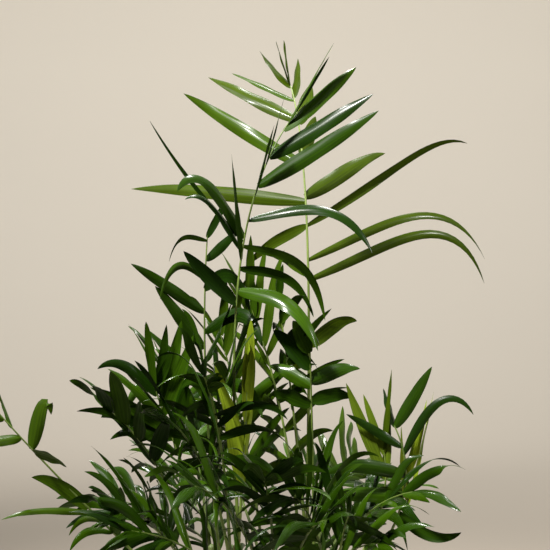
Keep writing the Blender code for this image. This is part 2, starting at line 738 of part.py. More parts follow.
def make_cane(key, collection, material):
    """One cane: a tapering tube, swollen a little at each ring, cut level at the soil."""
    cane = CANES[key]
    top = cane.height * MM
    rings = max(2, round(top / CANE_RING_SPACING))
    spacing = top / rings
    heights = [-spacing / 2]
    for ring in range(rings):
        heights += [(ring + CANE_WAIST) * spacing, (ring + 0.5) * spacing]
    heights.append(top)
    radii = [
        cane_radius(cane, height) * (CANE_RING_SWELL if index % 2 == 0 else 1.0)
        for index, height in enumerate(heights)
    ]
    points = [cane_point(cane, height) for height in heights]
    mesh = tube_mesh("cane_" + key, points, radii, 2)
    cut_level(mesh, SOIL_TOP + GAP)
    return new_object("cane_" + key, mesh, collection, material)


def make_rib(name, frond, foot):
    """The mesh of a frond's petiole and rib."""
    along, line, _ = rib_line(foot, frond)
    places = np.linspace(0, 1, 1 + round(frond.length * MM / RIB_SPACING))
    return tube_mesh("frond_" + name, read_line(along, line, places), rib_radius(places), 0)


def grow_leaflets(name, frond, foot, space):
    """The frond's leaflets, each in its first pose that clears everything else."""
    own = (name, name + "_rib")
    habit = leaf_habit(frond, NOTES.get(name, {}))
    poses = [leaf_lines(frond, foot, habit, pose) for pose in POSES]
    grown = []
    for row in range(2 * frond.pairs):
        for pose in poses:
            leaflet = [values[row] for values in pose]
            if space.is_free(*leaf_solid(*leaflet, swell=GAP), passed_over=own):
                grown.append(leaf_solid(*leaflet))
                space.add(name, *grown[-1])
                space.add(name + "_outer", *without_root(*grown[-1]))
                break
    return grown


def join_leaflets(rib, leaflets):
    """Fuse the leaflets into the rib with one Boolean union, and apply it."""
    joined = new_collection(rib.name + "_leaflets")
    for index, (points, faces) in enumerate(leaflets):
        mesh = bpy.data.meshes.new(f"{rib.name}_leaflet_{index}")
        mesh.from_pydata(points.tolist(), [], faces)
        face_outwards(mesh)
        new_object(mesh.name, mesh, joined)
    union = rib.modifiers.new("Join leaflets", "BOOLEAN")
    union.operation = "UNION"
    union.operand_type = "COLLECTION"
    union.collection = joined
    union.solver = "MANIFOLD"
    bpy.context.view_layer.update()
    seen = rib.evaluated_get(bpy.context.evaluated_depsgraph_get())
    mesh = bpy.data.meshes.new_from_object(seen)
    rib.modifiers.clear()
    rib.data = mesh
    for thing in list(joined.objects):
        bpy.data.objects.remove(thing, do_unlink=True)
    bpy.data.collections.remove(joined)
    keep_largest_body(mesh)


def main():
    """Build the pot, the soil, the canes and the fronds."""
    clear_scene()
    palm = new_collection("cat_palm")
    glaze = new_material("pot_ceramic", (0.78, 0.74, 0.68), 0.55)
    earth = new_material("potting_soil", (0.045, 0.028, 0.016), 0.95)
    bark = new_material("cane_green", (0.16, 0.22, 0.05), 0.5)
    leaf_greens = {
        tone: new_material("leaf_" + tone, colour, 0.35) for tone, colour in LEAF_COLOURS.items()
    }
    make_pot(palm, glaze)
    make_soil(palm, earth)

    space = Space()
    for thing in (bpy.data.objects["pot"], bpy.data.objects["soil"]):
        bpy.context.view_layer.update()
        seen = thing.evaluated_get(bpy.context.evaluated_depsgraph_get())
        space.add(thing.name, *mesh_parts(seen.data))
    for key in CANES:
        cane = make_cane(key, palm, bark)
        space.add(cane.name, *mesh_parts(cane.data))
    ribs = {}
    feet = {}
    for name, frond in FRONDS.items():
        feet[name] = frond_foot(CANES[name[0]], frond)
        mesh = make_rib(name, frond, feet[name])
        ribs[name] = new_object("frond_" + name, mesh, palm, leaf_greens[frond.tone])
        space.add(name + "_rib", *mesh_parts(mesh))
    for name, frond in FRONDS.items():
        join_leaflets(ribs[name], grow_leaflets(name, frond, feet[name], space))


if __name__ == "__main__":
    main()
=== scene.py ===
"""The looks of a young potted palm with many shoots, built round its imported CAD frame.

Each piece has its own operator. The growth rule is the one that the solids follow, written
again here and carried on to finer leaflets, channelled petioles, sheaths and ringed canes.
Lengths are metres, Z is up, and the origin is the middle of the pot's flat underside.
"""

import math
from dataclasses import dataclass, replace

import bmesh
import bpy
import numpy as np
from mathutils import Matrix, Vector
from mathutils.bvhtree import BVHTree


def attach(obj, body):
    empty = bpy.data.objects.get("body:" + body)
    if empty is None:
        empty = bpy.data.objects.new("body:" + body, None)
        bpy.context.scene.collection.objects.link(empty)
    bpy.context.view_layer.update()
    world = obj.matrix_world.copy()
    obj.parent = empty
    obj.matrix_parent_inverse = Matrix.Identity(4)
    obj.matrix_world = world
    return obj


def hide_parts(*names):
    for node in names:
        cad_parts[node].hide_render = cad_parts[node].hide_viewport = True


bl_info = {
    "name": "Potted Palm",
    "version": (1, 0, 0),
    "blender": (4, 5, 0),
    "location": "3D View > Sidebar > Palm",
    "description": "Dresses the frame of a potted palm in leaflets, petioles, canes, soil and a glazed pot",
    "category": "Add Mesh",
}

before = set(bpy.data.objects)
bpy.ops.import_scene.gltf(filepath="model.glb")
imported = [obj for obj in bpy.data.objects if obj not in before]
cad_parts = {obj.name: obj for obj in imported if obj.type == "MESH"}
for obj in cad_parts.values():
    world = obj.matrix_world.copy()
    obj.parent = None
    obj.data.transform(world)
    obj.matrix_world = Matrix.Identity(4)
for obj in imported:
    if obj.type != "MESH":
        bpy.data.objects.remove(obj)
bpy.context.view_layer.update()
BODY = "root"

MM = 0.001
GAP = 0.3 * MM                      # clear space between neighbouring solids

# Pot and soil
POT_HEIGHT = 135 * MM
POT_RIM_RADIUS = 75 * MM
POT_FOOT_RADIUS = 53 * MM
POT_WALL = 5 * MM
POT_FLOOR = 7 * MM
RIM_BAND_HEIGHT = 16 * MM
RIM_BAND_PROUD = 2 * MM
SOIL_TOP = 122 * MM

# Canes: radius at the soil and at the top, and the spacing of their rings
CANE_FOOT_RADIUS = 5.2 * MM
CANE_TOP_RADIUS = 3.6 * MM
CANE_RING_SPACING = 22 * MM

# Fronds: radius of the petiole at its foot and of the rib at its tip
PETIOLE_RADIUS = 2.1 * MM
RIB_TIP_RADIUS = 0.7 * MM
RIB_TAPER = 0.8
SPINE_STEPS = 96

# Leaflets: steps along the blade, and its outline
LEAF_STEPS = 24
LEAF_WIDEST = 0.39
LEAF_ROOT_POWER = 0.62
LEAF_TIP_POWER = 0.95
LEAF_ROOT_START = 0.02
LEAF_SWEEP = 0.2

# How a frond's leaflets change with their place, from 0 at the lowest pair to 1 at the top
LONGEST_PLACE = 0.45
LOW_SHORTER = 0.22                  # share of length the lowest leaflets lack
SPREAD_POWER = 1.3
TOP_STIFFER = 0.55                  # share of droop the top leaflets lack
LAST_WHERE = 0.997                  # share of the rib at which the top pair grows
SIDE_SHIFT = 0.25                   # one side sits higher, by this share of the spacing

# How far the seeded scatter moves one leaflet from the rule: angles in degrees, else shares
SPREAD_SCATTER = 6
LIFT_SCATTER = 8
LENGTH_SCATTER = 0.08
WIDTH_SCATTER = 0.1
DROOP_SCATTER = 0.45
ROLL_SCATTER = 14
TWIST_SCATTER = 45
WHERE_SCATTER = 0.12
BEND_POWER = 2.15
BEND_SCATTER = 0.65

# Other poses that a leaflet takes where its first would touch something:
# degrees added to its spread and its lift, and a factor on its length
POSES = (
    (0, 0, 1.0),
    (9, 0, 1.0),
    (-9, 0, 1.0),
    (0, 18, 1.0),
    (0, -18, 1.0),
    (12, 20, 0.85),
    (-12, -20, 0.85),
    (0, 34, 0.75),
    (0, -34, 0.75),
)

# Finer shapes of the pieces that replace the solids
LEAF_MIDRIB = 0.07                  # share of the half width that the midrib takes
LEAF_ACROSS = np.array([-1.0, -0.7, -0.36, -LEAF_MIDRIB, LEAF_MIDRIB, 0.36, 0.7, 1.0])
LEAF_RIPPLES = 2.3                  # waves of the margin along a leaflet
LEAF_FULLNESS = 0.75                # a power under one makes an outline fuller to its ends
LEAF_NARROWEST = 0.12 * MM          # the least half width
LEAF_BELLY = 0.25                   # how far each half bulges, as a share of the half width
LOOSE_WIDTH = 0.8                   # width of a loose frond's leaflets against the rule's,
NEAT_WIDTH = 1.3                    # and of the others'
FOLD_OPENING = 0.6                  # share of the fold that is gone at the tip
MIDRIB_RIDGE = 0.2 * MM             # how far the midrib stands up
MIDRIB_KEEL = 0.5 * MM              # and down
DEEPEST = 0.9                       # greatest depth as a share of the half width
CURL = 0.11                         # how far the leaflets of loose fronds sag, by length
SWAY = 0.05                         # and swing sideways
SWAY_WAVES = 5                      # how fast, in radians along a leaflet
CURL_LEAST = -0.3                   # least share of the curl: some leaflets rise instead
EXTRA_TWIST = math.radians(38)
TIDY_TWIST = 0.4                    # share of that twist that tidy leaflets have too
TINT_SEED = 1000                    # added to a frond's seed for the draw of its tints
FINER_BARE = 0.85                   # the finer leaflets against a frond's own: lowest place,
FINER_LENGTH = 0.72                 # length,
FINER_WIDTH = 0.85                  # width,
FINER_TOP = 0.93                    # highest place,
FINER_SEED = 500                    # and what is added to the seed
UPPER_SHINE = 0.1                   # specular level of a leaflet's upper skin,
UPPER_WAX = 0.5                     # and weight of the wax on it
UNDER_ROUGHNESS = 0.5               # of its under skin, which has no wax,
UNDER_SHINE = 0.05                  # and its specular level
WAX_ROUGHNESS = 0.16
WAX_IOR = 1.45
PETIOLE_ROUGHNESS = 0.42
SHEATH_ROUGHNESS = 0.7
RIB_ROWS = 65
RIB_CORNERS = 12
CHANNEL_DEPTH = 0.22                # of the channel on a petiole, as a share of its radius
CHANNEL_WIDTH = 0.5                 # and half its width, as an angle
CANE_ROW = 0.9 * MM
CANE_CORNERS = 24
RING_SWELL = 0.11                   # how far a ring stands out, as a share of the radius
RING_WIDTH = 1.1 * MM
WAIST_SHRINK = 0.05                 # and how far the waist above it draws in
WAIST_PLACE = 2.4 * MM
WAIST_WIDTH = 1.2 * MM
CANE_TOP_ROUND = 3 * MM
CANE_TOP_LEAST = 0.02               # keeps the topmost ring open, as a share of that
SHEATH_ROWS = 17
SHEATH_LOW = 26 * MM                # how far a sheath reaches down its cane
SHEATH_HIGH = 16 * MM               # and up its petiole
SHEATH_FOOT = 0.9 * MM              # how far it stands off the cane at its foot
SHEATH_LIP = 0.35 * MM              # and off the petiole at its lip
POLE_RADIUS = 0.5 * MM              # of the small ring that ends a turned shape
POT_CORNERS = 160
SOIL_ROWS = 56
SOIL_INNERMOST = 0.01               # radius of its last ring, as a share of its edge's
SOIL_SUNK = 1.2 * MM                # how far its mean level lies under the solid's
MOUND_WIDTHS = (14 * MM, 40 * MM)   # least and greatest wavelength of the soil's mounds
MOUND_HEIGHT = 3 * MM
CRUMB_WIDTHS = (3 * MM, 8 * MM)     # and of its crumbs
CRUMB_HEIGHT = 3.4 * MM
CHIP_COUNT = 420
CHIP_ROWS = 6
CHIP_CORNERS = 7
CHIP_POLES = 0.94                   # how far towards its poles a chip's ball reaches
CHIP_DENTS = 0.22
CHIP_TILT = 0.7                     # either way, in radians
CHIP_SIZES = (1.2, 3.4)             # least and greatest half length, in mm
CHIP_SHAPE = np.array([1.0, 0.7, 0.45])
CHIP_MARGIN = 4 * MM                # clear ground between the chips and the pot
MATCH = 0.05 * MM                   # how near a leaflet's tip lies to its solid
SHARP_ANGLE = math.radians(50)

# Stage, lights and camera
STAGE_RADIUS = 5.5
STAGE_CURVE = 2.6
STAGE_HEIGHT = 2.7
STAGE_CORNERS = 128
SHADED_FLOOR_RADIUS = 1.2                  # as far as the floor keeps its darker colour, painted shade round the palm
SENSOR_WIDTH = 36                   # of the camera, in its own millimetres
HALF_VIEW = 0.275                   # half the width seen at the pot's middle
CAMERA_SIDE = 3 * MM
LIGHT_AIM = 0.58                    # height that the lights look at
BACK_SHARE = 0.2                    # power of the back light against the key light's
SIDE_SHARE = 0.3                    # and of the side light
WARM_WHITE = (1.0, 0.975, 0.94)

UP = np.array([0.0, 0.0, 1.0])


@dataclass(frozen=True)
class Cane:
    """Foot in mm from the pot's middle, the way it leans, how far, and its height in mm."""

    x: float
    y: float
    heading: float
    lean: float
    height: float


CANES = {
    "a": Cane(-36, -36, 180, 2, 95),
    "b": Cane(34, 34, 0, 2, 90),
    "c": Cane(46, -2, 180, 3, 80),
    "d": Cane(-50, 24, 180, 8, 85),
    "e": Cane(-24, 4, 170, 12, 75),
    "g": Cane(-54, -8, 190, 14, 55),
    "j": Cane(50, -32, -10, 16, 70),
    "k": Cane(6, -50, -100, 10, 55),
    "m": Cane(0, 50, 90, 10, 60),
}


@dataclass(frozen=True)
class Frond:
    """One frond. Angles are in degrees, lengths in mm.

    height is where it leaves its cane, above the soil. heading is the compass way it
    leans, 0 for +X and 90 for +Y. lean is its angle from upright at the foot and at the
    tip, and late says how late along it the lean changes. bare is the share without
    leaflets. spread is the leaflets' angle from the rib at the lowest and the top pair.
    raised lifts them out of the frond's flat plane, turn turns that plane about the rib,
    and droop is how strongly a leaflet bends down towards its tip. short is the share of
    length the top leaflets lack, and loose is how untidily they all stand.
    """

    height: float
    heading: float
    lean: tuple
    length: float
    tone: str = "dark"
    late: float = 1.6
    pairs: int = 6
    bare: float = 0.45
    leaf: float = 105
    width: float = 12.5
    spread: tuple = (62, 25)
    raised: float = 20
    droop: float = 0.9
    turn: float = 0
    short: float = 0.34
    loose: float = 1
    seed: int = 0


@dataclass(frozen=True)
class Note:
    """What one leaflet does differently. where is its place as a share of the frond's length,
    roll turns its blade, late says how late along it the bend comes, and the rest is as for
    the frond."""

    where: float
    spread: float
    raised: float
    leaf: float
    width: float
    droop: float
    roll: float = None
    late: float = None


# A program fitted the heading, lean and length of a1, b1, c1, e1, g1, g4, j1, j2 and j3 to points
# read off the photograph, and moved a2, d3, e2 and e3 clear of their neighbours.
FRONDS = {
    "a1": Frond(
        80, 16, (-2, 35), 438, late=3.2, pairs=8, bare=0.5, leaf=125, spread=(75, 8), raised=45,
        droop=0.6, turn=135, seed=1,
    ),
    "b1": Frond(
        80, 100, (-4, 56), 515, tone="back", late=3, pairs=9, bare=0.42, leaf=150, width=12,
        spread=(72, 30), raised=8, droop=0.5, turn=-12, short=0.5, seed=2,
    ),
    "c1": Frond(
        70, -167, (5, 9), 260, pairs=4, bare=0.76, leaf=70, spread=(60, 25), droop=1.8, loose=2,
        seed=3,
    ),
    "c4": Frond(
        50, -100, (4, 12), 235, pairs=4, bare=0.78, leaf=55, spread=(75, 30), droop=1.3, seed=40,
    ),
    "d1": Frond(70, 10, (-6, 4), 330, bare=0.42, leaf=110, spread=(70, 20), turn=90, seed=4),
    "d2": Frond(
        55, -80, (0, 50), 225, bare=0.5, leaf=100, spread=(70, 30), droop=1.5, turn=40, loose=2,
        seed=14,
    ),
    "e1": Frond(60, -162, (25, 18), 202, bare=0.4, leaf=85, spread=(65, 15), turn=-80, seed=5),
    "g1": Frond(40, -151, (13, 50), 214, leaf=85, droop=1.3, seed=6),
    "g4": Frond(
        15, -164, (47, 41), 308, tone="mid", late=1, bare=0.4, leaf=80, spread=(62, 35), raised=0,
        droop=0.5, turn=75, seed=47,
    ),
    "j1": Frond(50, -16, (45, -28), 183, pairs=4, bare=0.3, leaf=85, spread=(50, 15), turn=80, seed=8),
    "j2": Frond(
        60, 9, (58, -17), 132, tone="young", pairs=2, bare=0.6, leaf=85, width=10, spread=(14, 4),
        droop=0.1, turn=80, seed=9,
    ),
    "j3": Frond(
        65, -14, (33, -12), 132, tone="pale", pairs=2, bare=0.6, leaf=80, width=9, spread=(14, 3),
        droop=0, turn=80, seed=10,
    ),
    "j4": Frond(30, -85, (34, 66), 165, pairs=5, leaf=90, droop=1.2, turn=-50, loose=2, seed=11),
    "j5": Frond(
        40, -110, (28, 70), 170, pairs=5, bare=0.5, leaf=95, droop=1.4, turn=55, loose=2, seed=12,
    ),
    "a2": Frond(
        85, -29, (4, 3), 160, tone="young", pairs=4, leaf=100, width=10, spread=(14, 4),
        droop=0.05, seed=13,
    ),
    "a3": Frond(
        60, -105, (6, 50), 230, pairs=5, bare=0.5, leaf=100, spread=(70, 30), droop=1.5, turn=-45,
        loose=2, seed=15,
    ),
    "k1": Frond(20, -75, (32, 80), 205, droop=1.4, turn=35, loose=2.2, seed=101),
    "k2": Frond(30, -120, (25, 75), 205, droop=1.4, turn=-40, loose=2.2, seed=17),
    "k3": Frond(10, -55, (36, 80), 190, leaf=95, droop=1.3, turn=50, loose=2.2, seed=18),
    "k4": Frond(45, -95, (25, 70), 185, droop=1.4, turn=-15, loose=2.2, seed=19),
    "k5": Frond(15, -145, (38, 80), 195, leaf=95, droop=1.3, turn=-55, loose=2.2, seed=20),
    "c2": Frond(45, -40, (26, 78), 160, leaf=90, droop=1.4, turn=45, loose=2.2, seed=21),
    "c3": Frond(60, 25, (26, 82), 120, pairs=5, leaf=75, droop=1.3, loose=2, seed=71),
    "e2": Frond(56, -125, (14, 58), 195, droop=1.4, turn=-50, loose=2.2, seed=43),
    "e3": Frond(36, 129, (32, 80), 165, leaf=90, droop=1.3, turn=30, loose=2, seed=24),
    "g2": Frond(30, -130, (30, 75), 165, leaf=90, droop=1.4, turn=-40, loose=2.2, seed=25),
    "g3": Frond(45, 170, (30, 82), 135, pairs=5, leaf=80, droop=1.3, turn=-35, loose=2, seed=26),
    "b2": Frond(55, 65, (36, 84), 170, tone="mid", leaf=90, turn=40, loose=2, seed=27),
    "b3": Frond(70, 165, (6, 22), 270, tone="mid", leaf=100, turn=60, loose=1.5, seed=28),
    "d3": Frond(54, 115, (16, 62), 245, turn=40, loose=2, seed=29),
    "m1": Frond(20, 72, (38, 80), 205, pairs=5, turn=35, loose=2, seed=30),
    "m2": Frond(30, 125, (24, 75), 225, turn=-40, loose=2, seed=31),
    "m3": Frond(10, 145, (45, 84), 185, pairs=5, leaf=90, loose=2, seed=53),
    "m4": Frond(50, 170, (8, 16), 250, tone="mid", leaf=100, turn=70, loose=1.5, seed=33),
    "m5": Frond(15, 50, (48, 85), 135, pairs=5, leaf=85, loose=2, seed=34),
}

# Leaflets that differ from the rule, numbered from the lowest: positive on one side of the rib
# and negative on the other. A program fitted these numbers to places read off the photograph,
# and they are rounded. The source of the solids holds the same numbers.
NOTES = {
    "a1": {
        1: Note(0.6, 93, 89, 113, 12.5, 2.9, roll=20, late=2.4),
        2: Note(0.65, 89, 74, 96, 9, 3.4, roll=-30, late=2.6),
        3: Note(0.7, 91, 34, 130, 7, 5, late=3),
        4: Note(0.76, 66, 76, 142, 9.5, 2.5, roll=25, late=2.5),
        5: Note(0.84, 45, 82, 139, 13, 0.1),
        6: Note(0.91, 40, 83, 119, 13, 0.1),
        7: Note(0.98, 23, 97, 94, 12, 0.1),
        8: Note(0.997, 27, 158, 92, 8, 0.1),
        -1: Note(0.57, 58, -24, 81, 12, 0.1),
        -2: Note(0.69, 44, -33, 88, 9, 1.4, roll=35),
        -3: Note(0.72, 48, -27, 110, 12.5, 1.9, roll=15, late=2.6),
        -4: Note(0.71, 55, -49, 149, 3.5, -0.2),
        -5: Note(0.67, 21, -30, 104, 7, 0),
        -6: Note(0.81, 29, 28, 78, 7, 0.2),
        -7: Note(0.89, 25, 13, 72, 5, 0),
        -8: Note(0.997, 11, 21, 78, 4, 0),
    },
    "b1": {
        1: Note(0.4, 52, -18, 60, 12, 1.1, late=2.5),
        2: Note(0.53, 68, -22, 240, 8, 3.1, late=4),
        3: Note(0.57, 66, -22, 238, 7.5, 2.3, late=3.2),
        4: Note(0.64, 59, -26, 234, 7.5, 0.9, late=5),
        5: Note(0.7, 58, -41, 144, 13, 0.5, late=3.5),
        6: Note(0.79, 22, -24, 56, 12, 0.2),
        7: Note(0.87, 21, 0, 58, 13, 0.1),
        8: Note(0.95, 19, 41, 57, 9, 0),
        9: Note(0.997, 47, 100, 54, 8, 0),
        -1: Note(0.4, 146, 6, 33, 7, 0.8),
        -2: Note(0.54, 59, -46, 68, 8, 0.6),
        -3: Note(0.64, 110, -15, 74, 9, 0.8),
        -4: Note(0.69, 76, -21, 212, 12.5, 0.3),
        -5: Note(0.77, 50, -17, 177, 12.5, 0.1),
        -6: Note(0.88, 47, -5, 128, 12, 0.2),
        -7: Note(0.94, 46, 4, 88, 8, 0.2),
        -8: Note(0.99, 34, 40, 63, 11, 0),
        -9: Note(0.997, 44, 76, 54, 8, 0),
    },
    "d1": {
        1: Note(0.51, 73, 57, 100, 11, 2.4),
        2: Note(0.61, 42, 63, 79, 11, 0.1),
        3: Note(0.7, 62, 54, 101, 12, 3),
        4: Note(0.83, 58, 60, 100, 11, 3.7),
        5: Note(0.92, 49, 27, 46, 8, 0.1),
        6: Note(0.99, 27, 30, 43, 6, 0),
        -1: Note(0.43, 42, 17, 122, 11, 3.3),
        -2: Note(0.52, 42, 6, 88, 11, 0.3),
        -3: Note(0.65, 41, 20, 84, 11, 0.3),
        -4: Note(0.76, 59, 21, 96, 10, 0.3),
        -5: Note(0.86, 61, 45, 93, 6, 3),
        -6: Note(0.98, 86, 47, 76, 4, 2.9, late=3),
    },
    "e1": {
        1: Note(0.68, 38, 40, 108, 9, 2.1),
        2: Note(0.78, 37, 42, 101, 9, 2.3),
        3: Note(0.86, 42, 31, 85, 10, 0.1),
        4: Note(0.91, 36, 11, 86, 10, 0.1),
        5: Note(0.97, 28, 24, 69, 8, 0.1),
        6: Note(0.99, 47, 54, 47, 7, 0.1),
        -1: Note(0.65, 36, 20, 87, 9, 1.3),
        -2: Note(0.73, 43, -8, 103, 8.5, 0.8),
        -3: Note(0.77, 39, 4, 96, 9, 0.4),
        -4: Note(0.86, 35, 22, 82, 11.5, 0.4),
        -5: Note(0.96, 24, -5, 74, 9, 1.5),
        -6: Note(0.99, 20, 99, 73, 9, 0.1),
    },
    "g4": {
        1: Note(0.42, 62, -137, 81, 12, 0.2),
        2: Note(0.54, 5, -14, 65, 11, 0.8),
        3: Note(0.63, 122, -105, 46, 11, 0.6),
        4: Note(0.79, 112, -123, 59, 11, 0.5),
        5: Note(0.8, 55, 164, 62, 11, 2),
        6: Note(0.89, 41, 110, 49, 11, 0.2),
        -1: Note(0.43, 55, -93, 84, 7, 1.4),
        -2: Note(0.48, 56, -88, 71, 5, 1.3),
        -3: Note(0.52, 45, -124, 104, 6, 0.6),
        -4: Note(0.58, 37, -106, 98, 7, 0.9),
        -5: Note(0.85, 57, -126, 52, 9, 0.8),
        -6: Note(0.93, 41, -110, 50, 9, 0.6),
    },
    "j1": {
        1: Note(0.53, 115, -1, 71, 9, -1, late=1.5),
        2: Note(0.84, 36, -14, 102, 7, 1.8),
        3: Note(0.95, 57, -23, 74, 5, 1.5),
        4: Note(0.99, 60, -13, 69, 9.5, 0.3),
        -1: Note(0.61, 96, 45, 88, 11, 0.8),
        -2: Note(0.73, 75, 42, 85, 11, 1),
        -3: Note(0.88, 47, 34, 63, 7, 0.2),
        -4: Note(0.99, 32, -86, 45, 9, 0.1),
    },
    "j2": {
        1: Note(0.73, 2, 63, 115, 10, 0),
        2: Note(0.96, 29, 16, 78, 8, 0),
        -1: Note(0.77, 7, 20, 74, 8, 0),
        -2: Note(0.98, 33, 138, 71, 7, 0),
    },
    "j3": {
        1: Note(0.78, 8, 10, 77, 7, 0),
        2: Note(0.98, 19, 5, 82, 6, 0),
        -1: Note(0.79, 18, 26, 100, 9, 0),
        -2: Note(0.96, 2, 19, 62, 6, 0),
    },
}


def unit(vectors):
    """Vectors scaled to length one along the last axis."""
    return vectors / np.maximum(np.linalg.norm(vectors, axis=-1, keepdims=True), 1e-12)


def dot(a, b):
    """Dot product along the last axis, which is kept."""
    return np.sum(a * b, axis=-1, keepdims=True)


def compass(heading):
    """The level unit vector of a compass heading in degrees."""
    angle = math.radians(heading)
    return np.array([math.cos(angle), math.sin(angle), 0.0])


def cane_point(cane, height):
    """The middle of a cane at a height above the soil."""
    foot = np.array([cane.x * MM, cane.y * MM, SOIL_TOP])
    return foot + height * (UP + math.tan(math.radians(cane.lean)) * compass(cane.heading))


def cane_radius(cane, height):
    """A cane's radius, which falls evenly from its foot to its top."""
    return CANE_FOOT_RADIUS + (CANE_TOP_RADIUS - CANE_FOOT_RADIUS) * height / (cane.height * MM)


def rib_radius(along):
    """A frond's radius at a share of its length."""
    return PETIOLE_RADIUS + (RIB_TIP_RADIUS - PETIOLE_RADIUS) * along**RIB_TAPER


def frond_foot(cane, frond):
    """A frond's foot, which stands against the side of its cane, clear of it by the gap."""
    height = frond.height * MM
    reach = PETIOLE_RADIUS * math.cos(math.radians(frond.lean[0]))
    away = cane_radius(cane, height) + reach + 2 * GAP
    return cane_point(cane, height) + away * compass(frond.heading)


def rib_line(foot, frond):
    """Shares of length, points and unit directions of a rib whose lean changes with length."""
    along = np.linspace(0.0, 1.0, SPINE_STEPS + 1)
    lean = np.radians(frond.lean[0] + (frond.lean[1] - frond.lean[0]) * along**frond.late)
    ways = np.sin(lean)[:, None] * compass(frond.heading) + np.cos(lean)[:, None] * UP
    steps = (ways[1:] + ways[:-1]) / 2 * frond.length * MM / SPINE_STEPS
    points = np.concatenate([[foot], foot + np.cumsum(steps, axis=0)])
    return along, points, ways


def read_line(along, values, places):
    """Values on a line of points, read at shares of its length."""
    return np.stack([np.interp(places, along, values[:, axis]) for axis in range(3)], axis=-1)


def leaf_outline(share):
    """Half width of a leaflet as a share of its greatest: a power of s by a power of 1 - s."""

    def bare_curve(s):
        return (s + LEAF_ROOT_START) ** LEAF_ROOT_POWER * (1 - s) ** LEAF_TIP_POWER

    return bare_curve(share) / bare_curve(LEAF_WIDEST)


def leaf_habit(frond, notes):
    """Where each leaflet grows and how: the two sides of the rib, then the seeded scatter."""
    count = 2 * frond.pairs
    scatter = np.random.default_rng(frond.seed).uniform(-1, 1, (count, 8))
    side = np.repeat([1.0, -1.0], frond.pairs)
    place = np.tile(np.linspace(0, 1, frond.pairs), 2)
    spacing = (1 - frond.bare) / frond.pairs
    shift = spacing * (SIDE_SHIFT * (side < 0) + WHERE_SCATTER * scatter[:, 7]) * (place < 1)
    where = np.minimum(frond.bare + (1 - frond.bare) * place + shift, LAST_WHERE)
    shrink = np.where(
        place > LONGEST_PLACE,
        1 - frond.short * ((place - LONGEST_PLACE) / (1 - LONGEST_PLACE)) ** 2,
        1 - LOW_SHORTER * (1 - place / LONGEST_PLACE) ** 2,
    )
    first, last = frond.spread
    loose = frond.loose * scatter
    habit = {
        "side": side,
        "where": where,
        "spread": first + (last - first) * place**SPREAD_POWER + SPREAD_SCATTER * loose[:, 0],
        "raised": frond.raised + LIFT_SCATTER * loose[:, 1],
        "leaf": frond.leaf * shrink * (1 + LENGTH_SCATTER * scatter[:, 2]),
        "droop": frond.droop * (1 - TOP_STIFFER * place) * (1 + DROOP_SCATTER * scatter[:, 3]),
        "late": BEND_POWER + BEND_SCATTER * scatter[:, 4],
        "roll": ROLL_SCATTER * loose[:, 5],
        "twist": TWIST_SCATTER * scatter[:, 6],
        "width": frond.width * (1 + WIDTH_SCATTER * scatter[:, 2]),
    }
    for number, note in notes.items():
        row = number - 1 if number > 0 else frond.pairs - number - 1
        for name, value in vars(note).items():
            if value is not None:
                habit[name][row] = value
    return habit


def leaf_lines(frond, foot, habit, pose):
    """Each leaflet's midline, blade directions and half widths, in one of the poses.

    A leaflet sets out from the rib at its spread angle, lifted out of the frond's plane.
    Its way then bends down by droop times a power of the share, and a little forward
    along the rib. The blade's width lies along the rib, rolled and twisted.
    """
    along, points, ways = rib_line(foot, frond)
    root = read_line(along, points, habit["where"])
    rib = unit(read_line(along, ways, habit["where"]))
    across = -np.cross(UP, compass(frond.heading))
    level = unit(across - dot(across, rib) * rib)
    face = np.cross(level, rib)
    turn = math.radians(frond.turn)
    normal = face * math.cos(turn) + level * math.sin(turn)
    edge = level * math.cos(turn) - face * math.sin(turn)

    shares = np.linspace(0.0, 1.0, LEAF_STEPS + 1)
    more_spread, more_lift, scale = pose
    spread = np.radians(habit["spread"] + more_spread)[:, None]
    raised = np.radians(habit["raised"] + more_lift)[:, None]
    length = habit["leaf"] * scale * MM
    side = habit["side"][:, None]
    out = np.cos(raised) * edge * side + np.sin(raised) * normal
    start = unit(np.cos(spread) * rib + np.sin(spread) * out)
    bend = habit["droop"][:, None] * shares[None] ** habit["late"][:, None]
    way = unit(
        start[:, None] - bend[..., None] * UP + LEAF_SWEEP * shares[None, :, None] * rib[:, None]
    )
    steps = (way[:, 1:] + way[:, :-1]) / 2 * length[:, None, None] / LEAF_STEPS
    line = np.concatenate([root[:, None], root[:, None] + np.cumsum(steps, axis=1)], axis=1)

    flat = unit(rib[:, None] - dot(rib[:, None], way) * way)
    upper = np.cross(flat, way) * side[..., None]
    roll = np.radians(habit["roll"][:, None] + habit["twist"][:, None] * shares[None])[..., None]
    wide = flat * np.cos(roll) + upper * np.sin(roll)
    upper = upper * np.cos(roll) - flat * np.sin(roll)
    half = leaf_outline(shares)[None] * (habit["width"] * MM / 2)[:, None]
    return line, wide, upper, half, length


def frond_poses(name, frond, foot):
    """The rule's leaflets of one frond that its solid has, each as line, wide, upper, half, length.

    The solid shows which pose each leaflet took: the first whose tip lies on its surface. A
    leaflet that the solid skipped is skipped here too.
    """
    solid = bmesh.new()
    solid.from_mesh(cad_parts["frond_" + name].data)
    surface = BVHTree.FromBMesh(solid)
    solid.free()
    habit = leaf_habit(frond, NOTES.get(name, {}))
    poses = [leaf_lines(frond, foot, habit, pose) for pose in POSES]
    found = []
    for row in range(2 * frond.pairs):
        for pose in poses:
            if surface.find_nearest(pose[0][row][-1], MATCH)[0] is not None:
                found.append([values[row] for values in pose] + [habit["side"][row]])
                break
    return found


